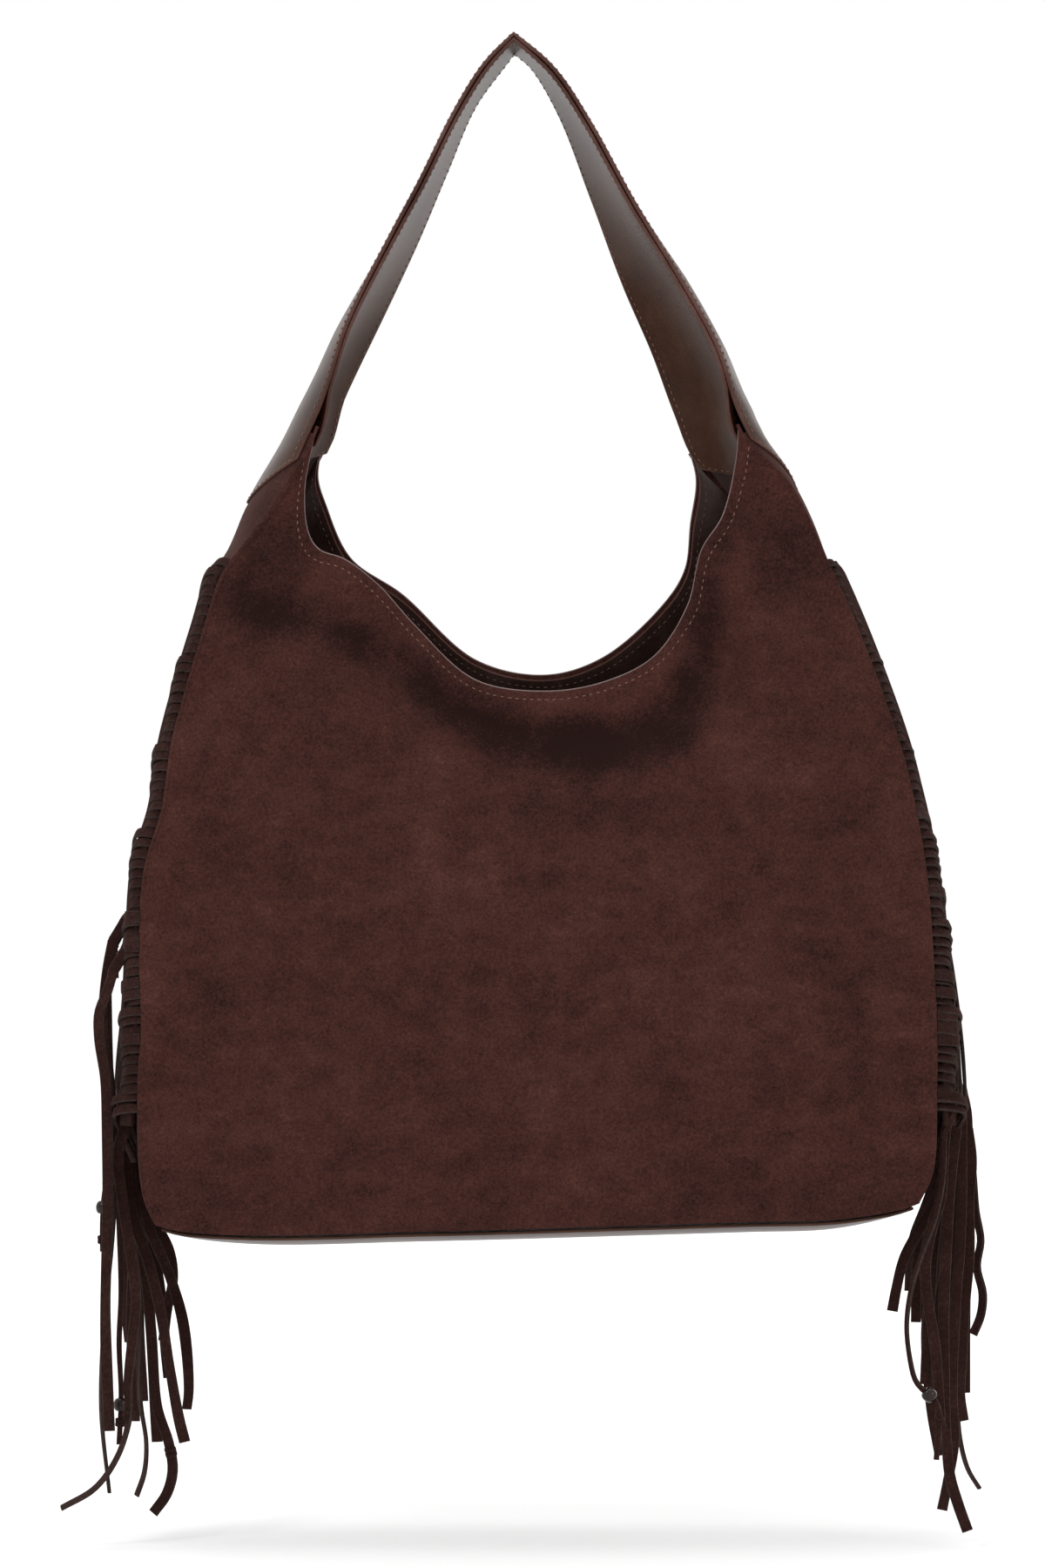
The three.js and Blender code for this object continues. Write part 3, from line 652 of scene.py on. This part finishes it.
def bead_material():
    m = Material("bead_gloss", Specular_IOR_Level=0.3)
    swirl = m.noise(420, 3, 0.6)
    m.colour(swirl, (0.35, (0.004, 0.002, 0.0015)), (0.7, (0.022, 0.009, 0.006)))
    m.rough(m.noise(1500, 2), 0.09, 0.17)
    m.bump(swirl, 0.03, 0.4)
    return m.material


PANEL_SUEDE = ((0.0130, 0.0047, 0.0038), (0.053, 0.0184, 0.0145), (0.100, 0.040, 0.032))
# Places on the front painted darker: partly darker nap, partly painted shade in the groove below the mouth,
# by the horns' folds and over the body.
FRONT_NAP_AND_SHADE = [
    (-125, -289, 56, 27, -19, 0.24), (-79, -307, 54, 24, -22, 0.23), (-44, -329, 50, 25, -44, 0.27),
    (-9, -351, 56, 27, -24, 0.33), (35, -360, 64, 28, 0, 0.37), (72, -356, 50, 27, 25, 0.33),
    (90, -333, 52, 24, 74, 0.28), (97, -298, 60, 22, 82, 0.23), (106, -254, 50, 17, 74, 0.17),
    (-118, -262, 50, 36, 60, 0.19), (138, -262, 76, 40, -60, 0.18), (10, -392, 140, 40, 3, 0.11),
    (-150, -400, 34, 80, -8, 0.14), (-70, -452, 60, 26, 18, 0.12), (118, -430, 70, 30, 68, 0.13),
    (170, -500, 80, 30, 86, 0.16), (-120, -535, 60, 30, -12, 0.11), (40, -560, 100, 22, 4, 0.06),
]
SUEDE_LOOK = suede_material("suede_panel", *PANEL_SUEDE, nap_and_shade=FRONT_NAP_AND_SHADE)
BACK_SUEDE_LOOK = suede_material("suede_back", *PANEL_SUEDE)
# Painted shade: the gussets are the panels' suede painted about a third darker, for the shade on the sides
# that face away from the key light and lie under the strap.
SHADED_GUSSET_LOOK = suede_material("suede_gusset", (0.011, 0.0044, 0.0036), (0.035, 0.0132, 0.0106),
                             (0.066, 0.029, 0.0235))
FRINGE_LOOK = suede_material("suede_fringe", (0.007, 0.0030, 0.0023), (0.0205, 0.0082, 0.0064),
                             (0.044, 0.020, 0.0165), patch=0.8, sheen=0.05)
CUT_LOOK = suede_material("suede_cut_edge", (0.010, 0.0062, 0.0050), (0.029, 0.0190, 0.0162),
                          (0.060, 0.043, 0.038), patch=0.8, sheen=0.05)
LEATHER_LOOK = leather_material("smooth_leather", (0.024, 0.0086, 0.0040), (0.038, 0.0145, 0.0072),
                                (0.058, 0.026, 0.0155), gloss=0.14)
FACING_LOOK = leather_material("smooth_facing", (0.012, 0.0058, 0.0045), (0.026, 0.0125, 0.0098),
                               (0.046, 0.027, 0.022), low=0.24, high=0.36, gloss=0.36)
EDGE_LOOK = leather_material("turned_edge", (0.042, 0.0155, 0.0115), (0.070, 0.029, 0.022),
                             (0.11, 0.054, 0.045), low=0.4, high=0.6, grain=0.1, gloss=0.14)
# Partly the pale colour of the mouth's turned edge, partly a painted highlight along its rounded top.
PALE_EDGE_HIGHLIGHT_LOOK = leather_material("pale_edge_highlight", (0.10, 0.056, 0.050), (0.165, 0.105, 0.096),
                                  (0.24, 0.175, 0.165), low=0.3, high=0.42, gloss=0.3)
THREAD_LOOK = thread_material("thread_tan", (0.080, 0.039, 0.024), (0.195, 0.100, 0.062))
DARK_THREAD_LOOK = thread_material("thread_brown", (0.046, 0.023, 0.017), (0.115, 0.060, 0.043))
LINING_LOOK = lining_material()
BEAD_LOOK = bead_material()


def place(obj, slot, *nodes):
    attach(obj, "root")
    if nodes:
        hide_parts(*nodes)
    return obj


# ---------- fringe ----------


def knot(shape, path, share, size):
    """One and a half turns of the strip round itself, pulled tight."""
    at = path.at(share)
    axis = unit(path.at(min(1, share + 0.01)) - path.at(max(0, share - 0.01)))
    side = unit(np.cross(axis, (0.1, 1, 0)))
    other = np.cross(axis, side)
    turns, steps = 1.55, 34
    turn = np.linspace(0, 2 * math.pi * turns, steps)
    climb = np.linspace(-0.36, 0.36, steps) + 0.18 * np.sin(turn + 0.6)
    ring = at + size * (0.46 * np.cos(turn)[:, None] * side + 0.34 * np.sin(turn)[:, None] * other
                        + climb[:, None] * axis)
    facing = np.cos(turn)[:, None] * side + np.sin(turn)[:, None] * other
    ribbon(shape, ring, facing, size * 0.40, size * 0.22, cut_slot=1)


def bead(name, path, share):
    at = path.at(share)
    axis = Vector(unit(path.at(min(1, share + 0.01)) - path.at(max(0, share - 0.01))))
    turn = Vector((0, 0, 1)).rotation_difference(axis)
    bore, lip, belly, half_height, around = 1.3, 1.75, 1.9, 3.3, 32
    outline = [(bore, -3.0), (lip, -half_height)]
    for a in np.linspace(-1.45, 1.45, 15):
        outline.append((belly + belly * math.cos(a), half_height * math.sin(a)))
    outline += [(lip, half_height), (bore, 3.0)]
    points = []
    for radius, height in outline:
        for k in range(around):
            angle = 2 * math.pi * k / around
            point = Vector((radius * math.cos(angle), radius * math.sin(angle), height))
            points.append(at + np.array(turn @ point))
    rows = len(outline)
    faces = [face for i in range(rows) for face in band(i, (i + 1) % rows, around)]
    shape = Shape()
    shape.add(points, faces)
    return place(shape.build(name + "_glossy", BEAD_LOOK), "bead", name)


def hang(name, thong, width, knots=(), pieces=()):
    """One thong or lace of the fringe, hanging from the lacing with its end cut square."""
    lane, route, twist = thong
    path = Curve([(x, lane, z) for x, z in route])
    steps = int(path.length / 3)
    points = path.at(np.linspace(0, 1, steps + 1))
    shape = Shape()
    narrow = 1 + 0.05 * np.sin(points[:, 2] / 23 + lane) + 0.03 * np.sin(points[:, 2] / 9 + 2 * lane)
    ribbon(shape, points, (0, -1, 0), width, THONG_THICK, twist, narrow=narrow, cut_slot=1)
    strip = place(shape.build(name + "_strip", FRINGE_LOOK, CUT_LOOK, sharp=40), "fringe", name)
    extras = list(pieces)
    for number, share in enumerate(knots, 1):
        tied = Shape()
        knot(tied, path, share, width * 0.95 if width > 4 else width * 1.6)
        extras.append(place(tied.build(f"{name}_knot_{number}", FRINGE_LOOK, CUT_LOOK, sharp=40), "fringe"))


# Where a strip is knotted, as shares of its length.
KNOTS = {"left_thong_03": [0.70], "left_thong_05": [0.83], "left_lace_1": [0.955], "left_lace_2": [0.9],
         "right_lace_1": [0.885]}


def make_fringe(side, thongs, laces, beads):
    starts = []
    for number, thong in enumerate(thongs, 1):
        name = f"{side.name}_thong_{number:02d}"
        hang(name, thong, THONG_WIDTH, KNOTS.get(name, ()))
        starts.append((thong[0], thong[1][0], THONG_WIDTH))
    for number, (lace, share) in enumerate(zip(laces, beads), 1):
        name = f"{side.name}_lace_{number}"
        path = Curve([(x, lace[0], z) for x, z in lace[1]])
        made = bead(f"{side.name}_bead_{number}", path, share)
        hang(name, lace, LACE_WIDTH, KNOTS.get(name, ()), [made])
        starts.append((lace[0], lace[1][0], LACE_WIDTH))
    return starts


left_starts = make_fringe(LEFT, LEFT_FRINGE, LEFT_LACES, LEFT_BEADS)
right_starts = make_fringe(RIGHT, RIGHT_FRINGE, RIGHT_LACES, RIGHT_BEADS)


# ---------- side lacing ----------


def along_side(side, share, distance):
    return share + distance / side.front.length


def rib(shape, side, height, half, size):
    """One strip of the lacing: out of the seam, over, and down under the next ones. half is -1 in front."""
    start = float(side.share(height))
    full = float(profile(side.rib, height)) * size
    drop = np.array([-1.6, -1.2, 0.2, 3.0, 7.6, 13.5, 20, 27])
    inward = np.array([0.95, 0.93, 0.86, 0.75, 0.66, 0.60, 0.57, 0.55]) + random.uniform(-0.02, 0.02)
    lift = np.array([-0.3, 0.55, 1.0, 1.05, 0.92, 0.7, 0.42, 0.18]) * full + 0.4
    lift[0] = -1.8
    share = along_side(side, start, drop)
    path = Curve(side.skin(share, half * inward, lift))
    points = path.at(np.linspace(0, 1, 16))
    facing = side.outward(np.linspace(share[0], share[-1], 16)) + np.array([0, 0.6 * half, 0.55])
    width = RIB_WIDTH * random.uniform(0.92, 1.1)
    ribbon(shape, points, facing, width, RIB_THICK, (10 * half, 0, -6 * half), cut_slot=1)


def lead(shape, side, lane, start, width, from_height):
    """The strip that comes out of a seam, turns down over the lacing, and becomes a thong of the fringe."""
    x, z = start
    half = -1 if lane < 0 else 1
    depth = float(side.depth(side.share(z)))
    end_w = lane / depth
    foot = float((side.skin(float(side.share(z)), end_w)[0] - x) * -side.sign)
    heights = np.array([0, 0.02, 0.08, 0.2, 0.4, 0.65, 0.85, 1.0])
    level = lerp(from_height, z, heights)
    near_seam = [half * 0.985, half * max(0.9, abs(end_w)), lerp(half * 0.8, end_w, 0.45)]
    inward = np.array(near_seam + [end_w] * 5)
    base = profile(side.rib, level) + 0.8
    lift = lerp(base, foot, heights**1.3)
    lift[0] = 0.2
    points = side.skin(side.share(level), inward, lift)
    points[-1] = (x, lane, z)
    overlap = 3.5  # how far it runs down behind the thong's own end
    path = Curve(np.vstack([points, points[-1] - (0, 0, overlap)]))
    fine = path.at(np.linspace(0, 1, 40))
    turned = smoothstep(-fine[:, 2], -z - 26, -z)[:, None]
    facing = lerp(side.outward(side.share(fine[:, 2])), np.array([0.0, -1, 0]), turned)
    ribbon(shape, fine, facing, width, THONG_THICK, cut_slot=1)


def under_strip(shape, side, half):
    """The strip under the ribs, along the edge of the gusset."""
    share = np.linspace(side.share(LACING_TOP + 1), side.share(LACING_END), 120)
    lift = 0.55 * profile(side.rib, side.front.at(share)[:, 2]) * smoothstep(share, share[0], share[3]) + 0.3
    facing = side.outward(share) + np.array([0, 0.7 * half, 0])
    ribbon(shape, side.skin(share, half * 0.85, lift), facing, UNDER_STRIP_WIDTH, UNDER_STRIP_THICK)


def make_lacing(side, starts):
    shape = Shape()
    for half in (-1, 1):
        under_strip(shape, side, half)
        for i in range(RIB_COUNT):
            height = lerp(LACING_TOP, LACING_END + 8, i / (RIB_COUNT - 1)) + random.uniform(-0.5, 0.5)
            swell = 0.7 + 0.6 * (1 - (i + half) % 9 / 8) ** 1.6 + random.uniform(-0.07, 0.07)
            swell *= 1 - side.slim * math.exp(-(((height - SLIM_HEIGHT) / SLIM_REACH) ** 4))
            rib(shape, side, height, half, swell)
    for lane, start, width in starts:
        reach = 1 - abs(lane) / GUSSET_HALF_DEPTH
        long = start[1] < LACING_END + 2
        from_height = start[1] + 9 + (reach * 130 * random.uniform(0.6, 1.3) if long else 4)
        lead(shape, side, lane, start, width, min(LACING_TOP - 5, from_height))
    strips = shape.build(f"{side.name}_lacing_strips", FRINGE_LOOK, CUT_LOOK, sharp=40)
    place(strips, "fringe", f"{side.name}_lacing")


make_lacing(LEFT, left_starts)
make_lacing(RIGHT, right_starts)


# ---------- panels, gussets, base, facing and lining ----------


def mouth_row(panel, across):
    """A line on a panel, at an even distance inside its mouth's edge."""
    down = 4 / PANEL_HEIGHT  # a small step, to see how far inside it leads
    mouth = panel.skin(across, 1.0)
    step = panel.skin(across, 1 - down) - mouth
    along = unit(np.gradient(mouth, axis=0))
    gap = np.linalg.norm(step - (step * along).sum(axis=1)[:, None] * along, axis=1)
    inside = (MOUTH_ROW + MOUTH_ROW_SPREAD * (2 * across - 1) ** 2) / np.maximum(gap, 1.0)
    inside = np.convolve(np.pad(np.minimum(inside, 2.6), 8, "edge"), np.ones(17) / 17, "valid")
    return panel.skin(across, 1 - down * inside, -STITCH_LIFT)


def make_panel(panel):
    u = rimmed(150, PANEL_WIDTH, SUEDE / 2)[:, None]
    v = rimmed(120, PANEL_HEIGHT, SUEDE / 2)[None, :]
    shape = Shape()
    shell(shape, panel.skin(u, v, SUEDE / 2), SUEDE)
    for side in (LEFT, RIGHT):
        share = np.linspace(side.horn, 0.998, 200)
        seam = getattr(side, panel.rail).at(share) - side.outward(share) * SEAM_INSET
        seam[:, 1] -= panel.sign * SEAM_INSET
        tube(shape, seam, SEAM_RADIUS)
    look = SUEDE_LOOK if panel is FRONT else BACK_SUEDE_LOOK
    place(shape.build(f"{panel.name}_panel_suede", look, weld=True), "suede", f"{panel.name}_panel")
    trim = Shape()
    across = np.linspace(0.004, 0.996, 260)
    rim = panel.skin(across, 1.0, SUEDE + EDGE_LIFT)
    rim[:, 2] += EDGE_LIFT
    tube(trim, rim, EDGE_RADIUS)
    place(trim.build(f"{panel.name}_mouth_edge", PALE_EDGE_HIGHLIGHT_LOOK), "smooth")
    thread = Shape()
    stitches(thread, mouth_row(panel, across), (0, panel.sign, 0))
    place(thread.build(f"{panel.name}_mouth_stitches", THREAD_LOOK), "suede")


def make_gusset(side):
    top = float(side.share(side.inner_end + 4))
    share = lerp(top, 1, rimmed(110, GUSSET_LENGTH, SUEDE / 2))[:, None]
    width = (2 * rimmed(36, GUSSET_WIDTH, SUEDE / 2) - 1)[None, :] * (1 - 0.1 / side.depth(share))
    shape = Shape()
    height = side.front.at(share)[..., 2]
    raised = 1.1 * smoothstep(height, -262, -246) * (1 - width**6)
    shell(shape, side.skin(share, width, raised - SUEDE / 2), SUEDE)
    place(shape.build(f"{side.name}_gusset_suede", SHADED_GUSSET_LOOK, weld=True), "suede", f"{side.name}_gusset")


def make_base():
    along = lerp(0.008, 0.992, rimmed(70, BASE_LENGTH, SUEDE / 2))[:, None]
    across = lerp(0.008, 0.992, rimmed(40, BASE_WIDTH, SUEDE / 2))[None, :]
    middle = lerp(FRONT.base.at(along), BACK.base.at(along), across[..., None])
    bow = (1 - (2 * across - 1) ** 4) * (1 - (2 * along - 1) ** 8)
    middle[..., 2] -= 0.4 + BASE_SAG * bow + SUEDE / 2
    shape = Shape()
    shell(shape, middle, SUEDE)
    place(shape.build("base_panel_smooth", LEATHER_LOOK, weld=True), "smooth", "base_panel")


def make_facings():
    for panel in (FRONT, BACK):
        u = lerp(0.01, 0.99, rimmed(120, PANEL_WIDTH, FACING / 2))[:, None]
        v = lerp(MOUTH_SHARE, 0.992, rimmed(30, 50, FACING / 2))[None, :]
        shape = Shape()
        shell(shape, panel.skin(u, v, FACING_DEPTH + FACING / 2), FACING, rim_slot=1, top_only=True)
        facing = shape.build(f"{panel.name}_facing_smooth", FACING_LOOK, EDGE_LOOK, weld=True)
        place(facing, "smooth", f"{panel.name}_facing")
        thread = Shape()
        row = panel.skin(np.linspace(0.02, 0.98, 240), 0.976, FACING_DEPTH + FACING + STITCH_LIFT)
        stitches(thread, row, (0, -panel.sign, 0))
        place(thread.build(f"{panel.name}_facing_stitches", DARK_THREAD_LOOK), "smooth")
    for side in (LEFT, RIGHT):
        top = float(side.share(side.inner_end - 1))
        share = lerp(top, lerp(1, side.horn, MOUTH_SHARE), rimmed(40, 60, FACING / 2))[:, None]
        width = (2 * rimmed(30, 60, FACING / 2) - 1)[None, :] * 0.9
        depth = lerp(1.9, SIDE_FACING_DEPTH, smoothstep(share, top, along_side(side, top, 26)))
        shape = Shape()
        shell(shape, side.skin(share, width, -depth - FACING / 2), FACING)
        facing = shape.build(f"{side.name}_side_facing_smooth", FACING_LOOK, weld=True)
        place(facing, "smooth", f"{side.name}_side_facing")


def lining_ring(v, depth):
    """One level of the lining, round the bag from the front's left end."""

    def half_panel(panel, from_u, to_u):
        u = np.linspace(from_u, to_u, 48, endpoint=False)
        points = panel.skin(u, v, depth)
        points[:, 0] -= depth * (2 * u - 1)
        return points

    def half_gusset(side, from_w, to_w):
        share = lerp(1, side.horn, v)
        points = side.skin(share, np.linspace(from_w, to_w, 14, endpoint=False), 0)
        points[:, 0] -= side.sign * depth
        points[:, 1] *= 1 - depth / side.depth(share)
        return points

    return np.vstack([half_panel(FRONT, 0, 1), half_gusset(RIGHT, -1, 1), half_panel(BACK, 1, 0),
                      half_gusset(LEFT, 1, -1)])


def make_lining():
    """A bag of two walls, joined along the top, each with its own floor."""
    levels = np.linspace(0, LINING_SHARE, 40)
    points, faces = [], []
    for depth in (LINING_DEPTH, LINING_DEPTH + LINING):
        for level in levels:
            ring = lining_ring(level, depth)
            ring[:, 2] += (3 + depth - LINING_DEPTH) * (1 - level / levels[-1])
            points.append(ring)
    count, rows = len(points[0]), len(levels)
    for layer in (0, rows):
        for level in range(rows - 1):
            faces += band(layer + level, layer + level + 1, count)
    faces += band(rows - 1, 2 * rows - 1, count)
    flat = np.vstack(points)
    for layer in (0, rows):
        start = layer * count
        centre = flat[start : start + count].mean(axis=0) - (0, 0, 1.0)
        flat = np.vstack([flat, centre])
        faces += [(start + i, start + (i + 1) % count, len(flat) - 1) for i in range(count)]
    shape = Shape()
    shape.add(flat, faces)
    place(shape.build("lining_bag", LINING_LOOK), "lining", "lining")


for panel in (FRONT, BACK):
    make_panel(panel)
for side in (LEFT, RIGHT):
    make_gusset(side)
make_base()
make_facings()
make_lining()


# ---------- strap ----------


def near_end(s):
    """0 along the strap, and 1 where a layer lies on the gusset."""
    return smoothstep(s, 0.86, 0.97)


def ply(along):
    """A layer's thickness, pared thinner towards its end."""
    return STRAP_LAYER * (1 - 0.35 * smoothstep(along, 0.95, 1))


def outer_offset(s, along):
    return lerp(PLY_GAP, OVER_GUSSET - 0.1, near_end(s)) + ply(along) / 2


def inner_offset(s, along):
    deep = SIDE_FACING_DEPTH + FACING + OVER_GUSSET
    return -ply(along) / 2 - lerp(PLY_GAP, deep, near_end(s))


def inner_width(s):
    return lerp(0.97, 0.86, near_end(s))


def layer_point(side, along, width, outer, inset=0.0):
    """A point of a strap layer's middle: along is 0 at the top and 1 at the layer's end, width -1 to 1."""
    edge = float(side.share(side.strap_end if outer else side.inner_end))
    tip = float(side.share(side.tongue_tip if outer else side.inner_tip))
    sharp = 1.3 if outer else 2.0
    end = lerp(tip, edge, np.abs(width) ** sharp) - inset / side.front.length
    share = along * end
    s = share / edge
    offset, widen = (outer_offset(s, along), 1.0) if outer else (inner_offset(s, along), inner_width(s))
    return side.skin(share, width * widen, offset)


def make_strap_layer(name, outer, node):
    along = rimmed(90, STRAP_HALF_LENGTH, STRAP_LAYER / 2)
    half = along[len(along) // 2 :]
    half = (half - half[0]) / (1 - half[0])
    width = 2 * rimmed(26, 2 * STRAP_HALF_WIDTH, STRAP_LAYER / 2) - 1
    left = layer_point(LEFT, half[::-1][:, None], width[None, :], outer)
    right = layer_point(RIGHT, half[1:][:, None], width[None, :], outer)
    shape = Shape()
    thickness = ply(np.concatenate([half[::-1], half[1:]]))[:, None]
    shell(shape, np.concatenate([left, right]), thickness, rim_slot=1, rim_reach=1.0)
    place(shape.build(name, LEATHER_LOOK, EDGE_LOOK, weld=True), "smooth", node)


def strap_row(shape, side, along, width, outer, inset=0.0):
    """A row of stitches on a strap layer's free face."""
    line = layer_point(side, along, width, outer, inset)
    tangent = np.gradient(line, axis=0)
    if inset:
        inner = layer_point(side, along - 0.01, width, outer, inset)
    else:
        inner = layer_point(side, along, width * 0.97, outer)
    normal = unit(np.cross(tangent, inner - line))
    out = side.outward(side.share(line[:, 2])) * (1 if outer else -1)
    normal *= np.sign((normal * out).sum(axis=1))[:, None]
    stitches(shape, line + normal * (ply(along) / 2)[:, None], normal)


def make_strap_stitches():
    shape = Shape()
    along = np.linspace(0, 1 - STRAP_ROW / STRAP_HALF_LENGTH, 160)
    edge = 1 - STRAP_ROW / STRAP_HALF_WIDTH
    for outer in (True, False):
        for side in (LEFT, RIGHT):
            for width in (-edge, edge):
                strap_row(shape, side, along, width, outer)
            strap_row(shape, side, np.ones(60), np.linspace(-1, 1, 60) * edge, outer, STRAP_ROW)
    place(shape.build("strap_stitches", THREAD_LOOK), "smooth")


make_strap_layer("strap_outer_smooth", True, "strap_outer")
make_strap_layer("strap_inner_smooth", False, "strap_inner")
make_strap_stitches()


# ---------- floor and light ----------

FLOOR_HEIGHT = -0.768
floor_mesh = bpy.data.meshes.new("floor")
corners = [(x, y, FLOOR_HEIGHT) for x, y in ((-5, -5), (5, -5), (5, 5), (-5, 5))]
floor_mesh.from_pydata(corners, [], [(0, 1, 2, 3)])
floor = add_object("floor", floor_mesh)
pale = Material("pale_floor", Specular_IOR_Level=0.1)
pale.colour(pale.noise(3, 2), (0.3, (0.90, 0.90, 0.90)), (0.7, (0.93, 0.93, 0.93)))
pale.shader.inputs["Roughness"].default_value = 0.9
floor_mesh.materials.append(pale.material)

world = bpy.data.worlds.new("studio")
world.use_nodes = True
world.node_tree.nodes["Background"].inputs["Color"].default_value = (1, 1, 1, 1)
world.node_tree.nodes["Background"].inputs["Strength"].default_value = 1.0
bpy.context.scene.world = world


def soft_light(name, at, size, power):
    """A square light that faces the middle of the bag."""
    data = bpy.data.lights.new(name, "AREA")
    data.shape, data.size, data.energy = "SQUARE", size, power
    light = add_object(name, data)
    light.location = at
    light.rotation_euler = (Vector((0, 0, -0.38)) - Vector(at)).to_track_quat("-Z", "Y").to_euler()


soft_light("key", (-1.6, -2.2, 1.6), 0.7, 20)
soft_light("fill", (2.2, -1.8, 0.6), 0.7, 8)
soft_light("left", (-1.9, 1.9, 0.9), 2.2, 12)
soft_light("right", (1.7, 2.1, 0.1), 1.0, 8)
above = add_object("above", bpy.data.lights.new("above", "SUN"))
above.data.energy, above.data.angle = 0.7, 0.6
